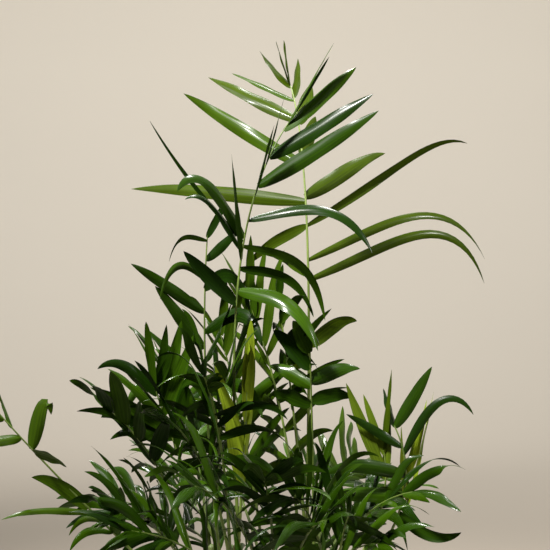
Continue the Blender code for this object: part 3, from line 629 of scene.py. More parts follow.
def finer_leaflets(frond, foot):
    """Shorter leaflets between those of an untidy frond: the same rule, with another seed."""
    finer = replace(
        frond,
        pairs=frond.pairs // 2 + 1,
        bare=FINER_BARE * frond.bare,
        leaf=FINER_LENGTH * frond.leaf,
        width=FINER_WIDTH * frond.width,
        seed=frond.seed + FINER_SEED,
    )
    habit = leaf_habit(finer, {})
    habit["where"] *= FINER_TOP
    lines = leaf_lines(finer, foot, habit, POSES[0])
    rows = range(2 * finer.pairs)
    return [[values[row] for values in lines] + [habit["side"][row]] for row in rows]


def grow_palm():
    """Every frond's rib line and leaflets, worked out once."""
    grown = {}
    for name, frond in FRONDS.items():
        foot = frond_foot(CANES[name[0]], frond)
        leaflets = frond_poses(name, frond, foot)
        if frond.loose > 1:
            leaflets += finer_leaflets(frond, foot)
        grown[name] = (rib_line(foot, frond), leaflets)
    return grown


GROWN = grow_palm()


def rings_mesh(name, rings, around=None, along=None, column_slots=None):
    """Closed tubes: rings of corners joined by quads, with the first and last ring filled.

    rings holds tube, row, corner and axis. around and along give each point's place in the
    UV map, which else runs evenly from 0 to 1, and column_slots says which material slot each
    column of faces has.
    """
    shape = tubes, rows, corners = rings.shape[:3]
    if around is None:
        around = np.arange(corners) / corners
    if along is None:
        along = np.linspace(0, 1, rows)[:, None]
    index = np.arange(tubes * rows * corners).reshape(shape)
    here, ahead = index[:, :-1], index[:, 1:]
    quads = np.stack([here, np.roll(here, -1, 2), np.roll(ahead, -1, 2), ahead], axis=-1)
    caps = np.concatenate([index[:, 0, ::-1], index[:, -1]])
    loops = np.concatenate([quads.reshape(-1), caps.reshape(-1)])
    quad_count = quads.size // 4
    starts = np.concatenate(
        [4 * np.arange(quad_count), 4 * quad_count + corners * np.arange(len(caps))]
    )
    slots = np.zeros(len(starts), np.int32)
    if column_slots is not None:
        slots[:quad_count] = np.broadcast_to(column_slots, quads.shape[:3]).reshape(-1)
    uv = np.stack([np.broadcast_to(around, shape), np.broadcast_to(along, shape)], axis=-1)

    mesh = bpy.data.meshes.new(name)
    mesh.vertices.add(index.size)
    mesh.vertices.foreach_set("co", rings.reshape(-1))
    mesh.loops.add(len(loops))
    mesh.loops.foreach_set("vertex_index", loops)
    mesh.polygons.add(len(starts))
    mesh.polygons.foreach_set("loop_start", starts)
    mesh.polygons.foreach_set("material_index", slots)
    mesh.polygons.foreach_set("use_smooth", np.ones(len(starts), bool))
    mesh.update(calc_edges=True)
    layer = mesh.uv_layers.new(name="Surface")
    layer.data.foreach_set("uv", uv.reshape(-1, 2)[loops].reshape(-1))
    mesh.set_sharp_from_angle(angle=SHARP_ANGLE)
    return mesh


def sweep_rings(points, ways, radii, corners, level):
    """Rings round paths: radius times the cosine and the sine of the corner's angle, on the
    level and the upper direction across the path."""
    level = unit(level - dot(level, ways) * ways)
    upper = np.cross(level, ways)
    angle = math.pi - 2 * math.pi * np.arange(corners) / corners
    radii = np.broadcast_to(radii[..., None], (*points.shape[:-1], corners))[..., None]
    return points[..., None, :] + radii * (
        np.cos(angle)[:, None] * level[..., None, :] + np.sin(angle)[:, None] * upper[..., None, :]
    )


def turned_rings(profile, corners):
    """Rings of a profile turned about the Z axis: radius times cosine, radius times sine, height."""
    profile = np.array(profile)
    angle = 2 * math.pi * np.arange(corners) / corners
    height = np.broadcast_to(profile[:, 1:], (len(profile), corners))
    radius = profile[:, :1]
    return np.stack([radius * np.cos(angle), radius * np.sin(angle), height], axis=-1)[None]


def rounded_profile(corners, steps):
    """A profile whose corners are rounded: (radius, height, rounding) each.

    A corner becomes a curve (1-t)^2 a + 2t(1-t) corner + t^2 b between the points a and b
    that lie the rounding away from it on its two sides.
    """
    places = np.array([corner[:2] for corner in corners])
    out = [places[0]]
    share = np.linspace(0, 1, steps)[:, None]
    for before, here, after, corner in zip(places, places[1:], places[2:], corners[1:-1]):
        a = here + unit(before - here) * corner[2]
        b = here + unit(after - here) * corner[2]
        out.extend((1 - share) ** 2 * a + 2 * share * (1 - share) * here + share**2 * b)
    out.append(places[-1])
    return np.array(out)


def waves(points, lengths, seed, count=24):
    """A smooth random height: the mean of cosines of many directions, wavelengths and phases."""
    dice = np.random.default_rng(seed)
    ways = unit(dice.normal(size=(count, 3)))
    numbers = 2 * math.pi / dice.uniform(*lengths, count)
    phases = dice.uniform(0, 2 * math.pi, count)
    return np.cos(points @ (ways * numbers[:, None]).T + phases).mean(axis=-1)


def turn_about(points, angles, axis):
    """Groups of points turned about an axis through the origin, each group by its own angle."""
    first, second = [(1, 2), (2, 0), (0, 1)][axis]
    cosine, sine = np.cos(angles)[:, None, None], np.sin(angles)[:, None, None]
    out = points.copy()
    out[..., first] = points[..., first] * cosine - points[..., second] * sine
    out[..., second] = points[..., first] * sine + points[..., second] * cosine
    return out


def add_piece(name, mesh, materials, slot, *replaced):
    """A piece of the palm: it rides on the root and stands for the nodes named."""
    thing = bpy.data.objects.new(name, mesh)
    bpy.context.scene.collection.objects.link(thing)
    for material in materials:
        mesh.materials.append(material)
    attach(thing, BODY)
    if replaced:
        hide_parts(*replaced)


def add_tubes(name, points, radii, corners, along, skin, *replaced):
    """A piece of round tubes, each along a row of points with its radii."""
    points = np.array(points)
    ways = unit(np.gradient(points, axis=1))
    level = np.broadcast_to(np.array([0.0, -1.0, 0.0]), points.shape)
    rings = sweep_rings(points, ways, np.array(radii), corners, level)
    add_piece(name, rings_mesh(name, rings, along=along), (skin,), "cane_green", *replaced)


def give(tree, node, inputs):
    """Give a node its inputs, each a value or a socket to link."""
    for key, value in inputs.items():
        if isinstance(value, bpy.types.NodeSocket):
            tree.links.new(value, node.inputs[key])
        else:
            node.inputs[key].default_value = value
    return node


def add_node(tree, kind, inputs=None, **settings):
    """A shader node with its settings and inputs."""
    made = tree.nodes.new("ShaderNode" + kind)
    for key, value in settings.items():
        setattr(made, key, value)
    return give(tree, made, inputs or {})


def maths(tree, operation, *values):
    """A Math node's result."""
    return add_node(tree, "Math", dict(enumerate(values)), operation=operation).outputs[0]


def ramp(tree, value, start, end, first=0.0, last=1.0, kind="LINEAR"):
    """A value that goes from first to last while another goes from start to end."""
    ends = {0: value, 1: start, 2: end, 3: first, 4: last}
    return add_node(tree, "MapRange", ends, interpolation_type=kind).outputs[0]


def blend(tree, factor, first, second):
    """A mix of two colours."""
    return add_node(tree, "Mix", {0: factor, 6: first, 7: second}, data_type="RGBA").outputs[2]


def off_middle(tree, value):
    """How far a value lies from a half."""
    return maths(tree, "ABSOLUTE", maths(tree, "SUBTRACT", value, 0.5))


def split_uv(tree):
    """The two numbers of the UV map: across a surface and along it."""
    place = add_node(tree, "UVMap", uv_map="Surface").outputs[0]
    parts = add_node(tree, "SeparateXYZ", {0: place})
    return parts.outputs[0], parts.outputs[1]


def object_place(tree):
    """The place on the object, in metres."""
    return add_node(tree, "TexCoord").outputs["Object"]


def new_group(name, inputs, outputs):
    """A shader node group with float and colour sockets, its tree, its input and its output."""
    tree = bpy.data.node_groups.new(name, "ShaderNodeTree")
    for way, sockets in (("INPUT", inputs), ("OUTPUT", outputs)):
        for label, kind in sockets.items():
            tree.interface.new_socket(label, in_out=way, socket_type="NodeSocket" + kind)
    return tree, tree.nodes.new("NodeGroupInput").outputs, tree.nodes.new("NodeGroupOutput")


def mottle_group():
    """Cloudy light and dark: the colour times one plus the contrast times a noise about zero."""
    tree, given, result = new_group(
        "mottle",
        {"Colour": "Color", "Contrast": "Float", "Scale": "Float"},
        {"Colour": "Color", "Cloud": "Float"},
    )
    noise = {"Vector": object_place(tree), "Scale": given["Scale"], "Detail": 4.0}
    cloud = add_node(tree, "TexNoise", noise).outputs["Fac"]
    about_zero = maths(tree, "MULTIPLY", maths(tree, "SUBTRACT", cloud, 0.5), 2.0)
    factor = maths(tree, "ADD", maths(tree, "MULTIPLY", about_zero, given["Contrast"]), 1.0)
    scaled = {0: given["Colour"], "Scale": factor}
    shaded = add_node(tree, "VectorMath", scaled, operation="SCALE").outputs[0]
    give(tree, result, {"Colour": shaded, "Cloud": cloud})
    return tree


def fibre_group():
    """Fine lines along a blade, petiole or sheath: a noise stretched along the UV map."""
    tree, given, result = new_group(
        "fibres", {"Across": "Float", "Along": "Float"}, {"Height": "Float", "Midrib": "Float"}
    )
    across, along = split_uv(tree)
    wide = maths(tree, "MULTIPLY", across, given["Across"])
    far = maths(tree, "MULTIPLY", along, given["Along"])
    stretched = add_node(tree, "CombineXYZ", {0: wide, 1: far}).outputs[0]
    lines = add_node(tree, "TexNoise", {"Vector": stretched, "Scale": 1.0, "Detail": 1.0})
    midrib = ramp(tree, off_middle(tree, across), 0.02, 0.05, 1.0, 0.0, "SMOOTHSTEP")
    give(tree, result, {"Height": lines.outputs["Fac"], "Midrib": midrib})
    return tree


MOTTLE = mottle_group()
FIBRES = fibre_group()


def opaque(colour, factor=1.0):
    """A colour with its strength changed, as four numbers."""
    return (*[min(1.0, channel * factor) for channel in colour], 1.0)


def place_group(tree, group, inputs):
    """The outputs of a copy of a group in a material, with its inputs."""
    made = tree.nodes.new("ShaderNodeGroup")
    made.node_tree = group
    return give(tree, made, inputs).outputs


def start_material(name, colour, contrast, scale):
    """A material, its tree and the outputs of its mottled colour."""
    material = bpy.data.materials.new(name)
    material.use_nodes = True
    tree = material.node_tree
    mottle = {"Colour": opaque(colour), "Contrast": contrast, "Scale": scale}
    return material, tree, place_group(tree, MOTTLE, mottle)


def finish_material(material, height, depth, strength=1.0, **inputs):
    """Give the shader a relief of this depth and its inputs, with _ for a space in a name."""
    tree = material.node_tree
    bump = add_node(tree, "Bump", {"Height": height, "Distance": depth, "Strength": strength})
    inputs = {key.replace("_", " "): value for key, value in inputs.items()}
    give(tree, tree.nodes["Principled BSDF"], {"Normal": bump.outputs[0], **inputs})
    return material


def leaf_material(name, colour, gloss, veins, shine, wax):
    """A leaflet's skin: mottled green with a paler midrib and lighter lines along the veins that are
    painted highlight streaks, and gloss and wax in streaks.
    """
    material, tree, mottle = start_material(name, colour, 0.4, 30.0)
    fibres = place_group(tree, FIBRES, {"Across": 8.0, "Along": 1.1})
    lines = fibres["Height"]
    faint_midrib = maths(tree, "MULTIPLY", fibres["Midrib"], 0.3)
    # The lighter lines in the base colour are painted highlight streaks; the paler midrib is the leaflet's
    # own colour.
    midrib_and_painted_streaks = maths(tree, "MAXIMUM", faint_midrib, ramp(tree, lines, 0.5, 0.75))
    share = maths(tree, "MULTIPLY", midrib_and_painted_streaks, 0.55)
    return finish_material(
        material,
        lines,
        veins,
        Base_Color=blend(tree, share, mottle["Colour"], opaque(colour, 2.3)),
        Roughness=ramp(tree, lines, 0.35, 0.65, gloss + 0.15, gloss - 0.12),
        Specular_IOR_Level=shine,
        Coat_Weight=ramp(tree, lines, 0.47, 0.6, 0.0, wax),
        Coat_Roughness=WAX_ROUGHNESS,
        Coat_IOR=WAX_IOR,
    )


def stem_material(name, colour, second, gloss):
    """A petiole's or sheath's skin: two colours that run into each other, and fine lines."""
    material, tree, mottle = start_material(name, colour, 0.3, 60.0)
    lines = place_group(tree, FIBRES, {"Across": 26.0, "Along": 5.0})["Height"]
    share = ramp(tree, mottle["Cloud"], 0.0, 1.0, -0.4, 1.1)
    return finish_material(
        material,
        lines,
        0.15 * MM,
        Base_Color=blend(tree, share, mottle["Colour"], opaque(second)),
        Roughness=ramp(tree, lines, 0.0, 1.0, gloss - 0.1, gloss + 0.2),
    )


def cane_material(colour, ring):
    """A cane's bark: mottled green, tan where a ring stands out, and fine upright lines."""
    material, tree, mottle = start_material("cane_bark", colour, 0.35, 90.0)
    lines = place_group(tree, FIBRES, {"Across": 30.0, "Along": 3.0})["Height"]
    from_ring = off_middle(tree, maths(tree, "FRACT", split_uv(tree)[1]))
    on_ring = ramp(tree, from_ring, 0.03, 0.11, 1.0, 0.0, "SMOOTHSTEP")
    return finish_material(
        material,
        lines,
        0.3 * MM,
        Base_Color=blend(tree, on_ring, mottle["Colour"], opaque(ring)),
        Roughness=ramp(tree, lines, 0.0, 1.0, 0.4, 0.75),
    )


def rough_material(name, colour, second, scale):
    """Soil or bark: two browns in grains of this scale, rough all over."""
    material, tree, mottle = start_material(name, colour, 0.8, scale)
    cells = {"Vector": object_place(tree), "Scale": scale * 5}
    grains = add_node(tree, "TexVoronoi", cells).outputs["Distance"]
    share = ramp(tree, grains, 0.0, 1.0, 0.0, 0.5)
    return finish_material(
        material,
        grains,
        0.8 * MM,
        Base_Color=blend(tree, share, mottle["Colour"], opaque(second)),
        Roughness=ramp(tree, mottle["Cloud"], 0.0, 1.0, 0.8, 1.0),
    )


def glaze_material(colour, fleck):
    """A matt glaze: a faint cloud, small flecks, and the lightest unevenness."""
    material, tree, mottle = start_material("pot_glaze", colour, 0.06, 16.0)
    place = object_place(tree)
    dots = add_node(tree, "TexVoronoi", {"Vector": place, "Scale": 260.0}).outputs["Distance"]
    grain = add_node(tree, "TexNoise", {"Vector": place, "Scale": 40.0}).outputs["Fac"]
    on_fleck = maths(tree, "LESS_THAN", dots, ramp(tree, grain, 0.0, 1.0, 0.0, 0.26))
    share = maths(tree, "MULTIPLY", on_fleck, 0.7)
    return finish_material(
        material,
        grain,
        0.25 * MM,
        0.5,
        Base_Color=blend(tree, share, mottle["Colour"], opaque(fleck)),
        Roughness=ramp(tree, mottle["Cloud"], 0.0, 1.0, 0.38, 0.56),
    )


def stage_material(floor, wall):
    """The stage's paper, which runs from the floor's darker colour, painted shade round the palm where the
    lights fall strongest, to the wall's with its distance.
    """
    material, tree, mottle = start_material("stage_paper", floor, 0.02, 0.7)
    place = object_place(tree)
    distance = add_node(tree, "VectorMath", {0: place}, operation="LENGTH").outputs["Value"]
    far = ramp(tree, distance, SHADED_FLOOR_RADIUS, STAGE_RADIUS)
    give(tree, mottle["Colour"].node, {"Colour": blend(tree, far, opaque(floor), opaque(wall))})
    roughness = ramp(tree, mottle["Cloud"], 0.0, 1.0, 0.85, 1.0)
    inputs = {"Base Color": mottle["Colour"], "Roughness": roughness}
    give(tree, tree.nodes["Principled BSDF"], inputs)
    return material


def colour_of(what, name, *channels):
    """A colour that a user can change."""
    return bpy.props.FloatVectorProperty(
        name=name, description="Colour of " + what, default=channels, min=0, max=1, subtype="COLOR"
    )


def share_of(what, name, default, low, high):
    """A share that a user can change."""
    return bpy.props.FloatProperty(
        name=name, description=what, default=default, min=low, max=high, subtype="FACTOR"
    )


def length_of(what, name, default, low, high):
    """A length in metres that a user can change."""
    return bpy.props.FloatProperty(
        name=name, description=what, default=default, min=low, max=high,
        subtype="DISTANCE", unit="LENGTH", precision=5,
    )


def power_of(what, name, default, high):
    """A light's power in watts that a user can change."""
    return bpy.props.FloatProperty(
        name=name, description="Power of " + what, default=default, min=0, max=high, unit="POWER"
    )


class LeafSettings(bpy.types.PropertyGroup):
    """Colours and shapes of the leaflets."""

    fold: bpy.props.FloatProperty(
        name="Fold", description="How far each half of a blade falls away from its midrib",
        default=math.radians(19), min=0, max=math.radians(45), subtype="ANGLE", unit="ROTATION",
    )
    thickness: length_of(
        "Thickness of a blade beside its midrib", "Thickness", 0.4 * MM, 0.1 * MM, 1 * MM
    )
    ripple: share_of(
        "Height of the margin's waves as a share of the half width", "Ripple", 0.12, 0, 0.4
    )
    gloss: share_of("Roughness of the upper side", "Roughness", 0.28, 0.1, 0.8)
    veins: length_of("Depth of the fine veins", "Vein Depth", 0.1 * MM, 0, 1 * MM)
    deep: colour_of("the most shaded leaflets", "Deep Green", 0.006, 0.020, 0.0004)
    dark: colour_of("most full-grown leaflets", "Dark Green", 0.0115, 0.032, 0.0005)
    fresh: colour_of("the lighter leaflets among them", "Fresh Green", 0.021, 0.052, 0.0008)
    mid: colour_of("the side fronds", "Middle Green", 0.027, 0.056, 0.0012)
    back: colour_of("the tall frond at the back", "Back Green", 0.029, 0.050, 0.0012)
    pale: colour_of("the newly opened fronds", "Pale Green", 0.070, 0.110, 0.006)
    young: colour_of("the fronds that are still folded", "Young Green", 0.170, 0.235, 0.012)


class StemSettings(bpy.types.PropertyGroup):
    """Colours of petioles, sheaths and canes."""

    petiole: colour_of("the full-grown petioles", "Petiole", 0.045, 0.085, 0.008)
    pale_petiole: colour_of("the lighter petioles", "Pale Petiole", 0.190, 0.260, 0.045)
    sheath: colour_of("the dry sheaths at the petioles' feet", "Sheath", 0.210, 0.150, 0.070)
    cane: colour_of("the canes between their rings", "Cane", 0.110, 0.150, 0.040)
    ring: colour_of("the rings that fallen leaves left", "Ring", 0.300, 0.230, 0.120)


class PotSettings(bpy.types.PropertyGroup):
    """Colours of the pot and of what is in it."""

    glaze: colour_of("the pot", "Glaze", 0.72, 0.68, 0.60)
    fleck: colour_of("the small flecks in the glaze", "Flecks", 0.42, 0.36, 0.28)
    soil: colour_of("the potting soil", "Soil", 0.040, 0.025, 0.015)
    chips: colour_of("the bark chips in the soil", "Bark Chips", 0.130, 0.075, 0.040)


class StageSettings(bpy.types.PropertyGroup):
    """The floor, the lights and the camera."""

    # The floor's darker colour is painted shade round the palm, where the lights fall strongest.
    floor: colour_of("the floor", "Floor", 0.40, 0.355, 0.295)
    paper: colour_of("the wall that the floor curves up into", "Wall", 0.84, 0.79, 0.70)
    sky: bpy.props.FloatProperty(
        name="Room Light", description="Strength of the even light of the room",
        default=0.28, min=0, max=3,
    )
    key: power_of("the main light, at the front", "Key Light", 9.5, 500)
    top: power_of("the light above", "Top Light", 7, 500)
    wall: power_of("the light that falls on the wall behind", "Wall Light", 72, 2000)
    camera_distance: length_of(
        "From the camera to the middle of the pot", "Camera Distance", 1.5, 0.5, 10
    )
    camera_height: length_of("Height of the camera over the floor", "Camera Height", 0.48, 0, 3)


TINTS = {
    "dark": ("deep", "dark", "dark", "fresh"),
    "mid": ("fresh", "mid", "mid"),
    "back": ("mid", "back", "back"),
    "pale": ("back", "pale", "pale"),
    "young": ("young",),
}


def blade_rings(blades, settings):
    """Rings round leaflets: two halves that fall away from a raised midrib, with a thin underside.

    Across a blade, v runs from -1 to 1. A point lies v half widths along the wide direction,
    and stands up by half width times (-sin(fold) |v| + belly (|v| - v^2) + ripple v^2 sqrt(s)
    sin(2 pi (ripples s + phase + v / 4))), plus a small ridge beside the midrib. The fold
    opens towards the tip. The underside lies thickness times (1 - v^2) below, and deeper
    under the midrib, which thins out towards the tip. Each blade's upper side is turned to
    the sky.
    """
    line, wide, upper, half, length, side, loose = (
        np.stack([blade[part] for blade in blades]) for part in range(7)
    )
    skyward = np.where(upper[..., 2].mean(axis=1) < 0, -1.0, 1.0)[:, None, None]
    upper = upper * skyward
    side = side[:, None, None] * skyward
    line, wide, upper = untidy(line, wide, upper, length, loose - 1)
    widest = half.max(axis=1, keepdims=True)
    fuller = np.where(loose > 1, LOOSE_WIDTH, NEAT_WIDTH)[:, None]
    half = np.maximum(widest * (half / widest) ** LEAF_FULLNESS * fuller, LEAF_NARROWEST)
    v = LEAF_ACROSS[None, None]
    s = np.linspace(0, 1, LEAF_STEPS + 1)[None, :, None]
    phase = np.random.default_rng(7).uniform(0, 1, len(blades))[:, None, None]
    fold = settings.fold * (1 - FOLD_OPENING * s)
    ripple = settings.ripple * np.sin(2 * math.pi * (LEAF_RIPPLES * s + phase + v / 4))
    rise = half[..., None] * (
        -np.sin(fold) * abs(v) + LEAF_BELLY * (abs(v) - v**2) + ripple * v**2 * np.sqrt(s)
    )
    near_midrib = (abs(v) <= LEAF_MIDRIB) * (1 - s)
    rise = rise + near_midrib * MIDRIB_RIDGE
    depth = settings.thickness * (1 - v**2) * (1 - s / 2) + near_midrib * MIDRIB_KEEL
    depth = np.minimum(depth, half[..., None] * DEEPEST)

    def surface(height, picked):
        along_wide = (wide * side)[:, :, None] * (half[..., None] * v)[..., picked, None]
        return line[:, :, None] + along_wide + upper[:, :, None] * height[..., picked, None]

    everything = slice(None)
    inner = slice(len(LEAF_ACROSS) - 2, 0, -1)
    rings = np.concatenate([surface(rise, everything), surface(rise - depth, inner)], axis=2)
    return rings, np.concatenate([LEAF_ACROSS, LEAF_ACROSS[inner]]) / 2 + 0.5


def untidy(line, wide, upper, length, loose):
    """Leaflets of loose fronds sag and turn: by curl times s^3 of their length, and by twist.

    The twist turns a blade's directions about its midline by an angle that grows with s, and
    the sway moves it sideways by s sin(SWAY_WAVES s + phase).
    """
    dice = np.random.default_rng(21)
    share = np.linspace(0, 1, LEAF_STEPS + 1)[None, :, None]
    curl = (CURL * loose * dice.uniform(CURL_LEAST, 1, len(loose)) * length)[:, None, None]
    sway = (SWAY * loose * dice.uniform(-1, 1, len(loose)) * length)[:, None, None]
    twist = EXTRA_TWIST * (TIDY_TWIST + loose) * dice.uniform(-1, 1, len(loose))
    twist = twist[:, None, None]
    phase = dice.uniform(0, 2 * math.pi, (len(loose), 1, 1))
    swing = np.sin(SWAY_WAVES * share + phase)
    bent = line - UP * curl * share**3 + wide * sway * share * swing
    cosine, sine = np.cos(twist * share), np.sin(twist * share)
    return bent, wide * cosine + upper * sine, upper * cosine - wide * sine


def deal_tints():
    """Each tint's blades: every leaflet of a frond draws one of the tints of the frond's tone."""
    dealt = {}
    for name, frond in FRONDS.items():
        tints = TINTS[frond.tone]
        blades = GROWN[name][1]
        draws = np.random.default_rng(TINT_SEED + frond.seed).integers(0, len(tints), len(blades))
        for blade, draw in zip(blades, draws):
            dealt.setdefault((frond.tone, tints[draw]), []).append([*blade, frond.loose])
    return dealt


class PALM_OT_leaflets(bpy.types.Operator):
    """Make the leaflets of all fronds, one piece for each tint"""

    bl_idname = "palm.leaflets"
    bl_label = "Leaflets"

    def execute(self, context):
        settings = context.scene.palm_leaves
        skins = (
            ("", settings.gloss, UPPER_SHINE, UPPER_WAX),
            ("_under", UNDER_ROUGHNESS, UNDER_SHINE, 0.0),
        )
        for (tone, tint), blades in deal_tints().items():
            colour = getattr(settings, tint)
            materials = [
                leaf_material(
                    f"leaf_{tone}_{tint}{end}", colour, gloss, settings.veins, shine, wax
                )
                for end, gloss, shine, wax in skins
            ]
            rings, across = blade_rings(blades, settings)
            slots = (np.arange(rings.shape[2]) >= len(LEAF_ACROSS) - 1).astype(int)
            name = f"leaflets_{tone}_{tint}"
            mesh = rings_mesh(name, rings, around=across, column_slots=slots)
            nodes = [f"frond_{key}" for key, frond in FRONDS.items() if frond.tone == tone]
            add_piece(name, mesh, materials, "leaf_" + tone, *nodes)
        return {"FINISHED"}


class PALM_OT_petioles(bpy.types.Operator):
    """Make the petioles and ribs, with a channel along their upper side"""

    bl_idname = "palm.petioles"
    bl_label = "Petioles"

    def execute(self, context):
        settings = context.scene.palm_stems
        kinds = {
            "green": (("dark", "mid"), settings.petiole, settings.pale_petiole),
            "pale": (("back", "pale", "young"), settings.pale_petiole, settings.petiole),
        }
        places = np.linspace(0, 1, RIB_ROWS)
        corner = math.pi - 2 * math.pi * np.arange(RIB_CORNERS) / RIB_CORNERS
        channel = 1 - CHANNEL_DEPTH * np.exp(-(((corner - math.pi / 2) / CHANNEL_WIDTH) ** 2))
        for kind, (tones, colour, second) in kinds.items():
            points, ways, levels = [], [], []
            for name, frond in FRONDS.items():
                if frond.tone in tones:
                    along, line, way = GROWN[name][0]
                    points.append(read_line(along, line, places))
                    ways.append(unit(read_line(along, way, places)))
                    levels.append(-np.cross(UP, compass(frond.heading)))
            radii = np.broadcast_to(rib_radius(places), (len(points), RIB_ROWS))
            level = np.array(levels)[:, None]
            rings = sweep_rings(np.array(points), np.array(ways), radii, RIB_CORNERS, level)
            middle = np.array(points)[:, :, None]
            rings = middle + (rings - middle) * channel[:, None]
            name = "petioles_" + kind
            skin = stem_material("petiole_" + kind, colour, second, PETIOLE_ROUGHNESS)
            add_piece(name, rings_mesh(name, rings), (skin,), "leaf_" + tones[0])
        return {"FINISHED"}


class PALM_OT_sheaths(bpy.types.Operator):
    """Make the sheaths that hold each petiole to its cane"""

    bl_idname = "palm.sheaths"
    bl_label = "Sheaths"

    def execute(self, context):
        settings = context.scene.palm_stems
        share = np.linspace(0, 1, SHEATH_ROWS)
        ease = share**2 * (3 - 2 * share)
        points, radii = [], []
        for name, frond in FRONDS.items():
            cane = CANES[name[0]]
            height = frond.height * MM
            along, line, _ = GROWN[name][0]
            low = max(height - SHEATH_LOW, 1 * MM)
            heights = low + (height - low) * share
            stand = np.array([cane_point(cane, h) for h in heights + SHEATH_HIGH * share])
            reach = SHEATH_HIGH * share / (frond.length * MM)
            leaving = read_line(along, line, reach)
            points.append(stand + (leaving - stand) * ease[:, None])
            wide = np.array([cane_radius(cane, h) for h in heights]) + SHEATH_FOOT
            slim = rib_radius(reach) + SHEATH_LIP
            radii.append(wide + (slim - wide) * ease)
        colours = settings.sheath, settings.petiole
        skin = stem_material("dry_sheath", *colours, SHEATH_ROUGHNESS)
        add_tubes("sheaths", points, radii, RIB_CORNERS, None, skin)
        return {"FINISHED"}


class PALM_OT_canes(bpy.types.Operator):
    """Make the canes, with a raised ring at each scar of a fallen leaf

    A ring swells the radius by a share times exp(-(d / width)^2) of the distance d from it,
    and a narrower waist lies above it.
    """

    bl_idname = "palm.canes"
    bl_label = "Canes"

    def execute(self, context):
        settings = context.scene.palm_stems
        rows = int(max(cane.height for cane in CANES.values()) * MM / CANE_ROW) + 2
        share = np.linspace(0, 1, rows)
        points, radii, rings_up = [], [], []
        for cane in CANES.values():
            top = cane.height * MM
            heights = GAP + (top - GAP) * share
            count = max(2, round(top / CANE_RING_SPACING))
            turn = heights / top * count
            from_ring = (turn - np.round(turn - 0.5) - 0.5) * top / count
            swell = 1 + RING_SWELL * np.exp(-((from_ring / RING_WIDTH) ** 2))
            swell -= WAIST_SHRINK * np.exp(-(((from_ring - WAIST_PLACE) / WAIST_WIDTH) ** 2))
            below_top = np.clip((top - heights) / CANE_TOP_ROUND, CANE_TOP_LEAST, 1)
            points.append(np.array([cane_point(cane, h) for h in heights]))
            radii.append(cane_radius(cane, heights) * swell * np.sqrt(below_top))
            rings_up.append(turn)
        along = np.array(rings_up)[..., None]
        skin = cane_material(settings.cane, settings.ring)
        nodes = [f"cane_{key}" for key in CANES]
        add_tubes("canes", points, radii, CANE_CORNERS, along, skin, *nodes)
        return {"FINISHED"}


class PALM_OT_pot(bpy.types.Operator):
    """Turn the glazed pot with its rim band"""

    bl_idname = "palm.pot"
    bl_label = "Pot"

    def execute(self, context):
        settings = context.scene.palm_pot
        slope = (POT_RIM_RADIUS - RIM_BAND_PROUD - POT_FOOT_RADIUS) / POT_HEIGHT
        band_foot = POT_HEIGHT - RIM_BAND_HEIGHT
        profile = rounded_profile(
            [
                (POLE_RADIUS, 0, 0),
                (POT_FOOT_RADIUS, 0, 2 * MM),
                (POT_FOOT_RADIUS + slope * band_foot, band_foot, 0.8 * MM),
                (POT_RIM_RADIUS - RIM_BAND_HEIGHT * slope, band_foot, 1.2 * MM),
                (POT_RIM_RADIUS, POT_HEIGHT, 2 * MM),
                (POT_RIM_RADIUS - POT_WALL, POT_HEIGHT, 2 * MM),
                (POT_FOOT_RADIUS - POT_WALL, POT_FLOOR, 4 * MM),
                (POLE_RADIUS, POT_FLOOR, 0),
            ],
            steps=7,
        )
        mesh = rings_mesh("pot_glazed", turned_rings(profile, POT_CORNERS))
        skin = glaze_material(settings.glaze, settings.fleck)
        add_piece("pot_glazed", mesh, (skin,), "pot_ceramic", "pot")
        return {"FINISHED"}


def soil_edge():
    """The soil's radius at its top, clear of the pot's wall."""
    slope = (POT_RIM_RADIUS - POT_FOOT_RADIUS) / (POT_HEIGHT - POT_FLOOR)
    return POT_FOOT_RADIUS - POT_WALL + slope * (SOIL_TOP - POT_FLOOR) - GAP


def mounds(points):
    """The wide, low mounds of the soil: its height over its mean level."""
    return waves(points, MOUND_WIDTHS, seed=5) * MOUND_HEIGHT


class PALM_OT_soil(bpy.types.Operator):
    """Fill the pot with soil whose top is the sum of wide mounds and small crumbs"""

    bl_idname = "palm.soil"
    bl_label = "Soil"

    def execute(self, context):
        settings = context.scene.palm_pot
        edge = soil_edge()
        inner_foot = POT_FOOT_RADIUS - POT_WALL
        inwards = np.linspace(1, SOIL_INNERMOST, SOIL_ROWS)
        radii = np.concatenate([[inner_foot, edge], edge * inwards])
        heights = np.full(len(radii), SOIL_TOP)
        heights[0] = POT_FLOOR + GAP
        outline = np.stack([radii, heights], axis=1)
        pole = [[POLE_RADIUS, POT_FLOOR + GAP]]
        rings = turned_rings(np.concatenate([pole, outline]), POT_CORNERS)
        top = rings[:, 3:]
        crumbs = waves(top, CRUMB_WIDTHS, seed=6, count=40) * CRUMB_HEIGHT
        top[..., 2] += mounds(top) + crumbs - SOIL_SUNK
        skin = rough_material("potting_soil", settings.soil, settings.chips, 90.0)
        mesh = rings_mesh("soil_top", rings)
        add_piece("soil_top", mesh, (skin,), "potting_soil", "soil")
        return {"FINISHED"}


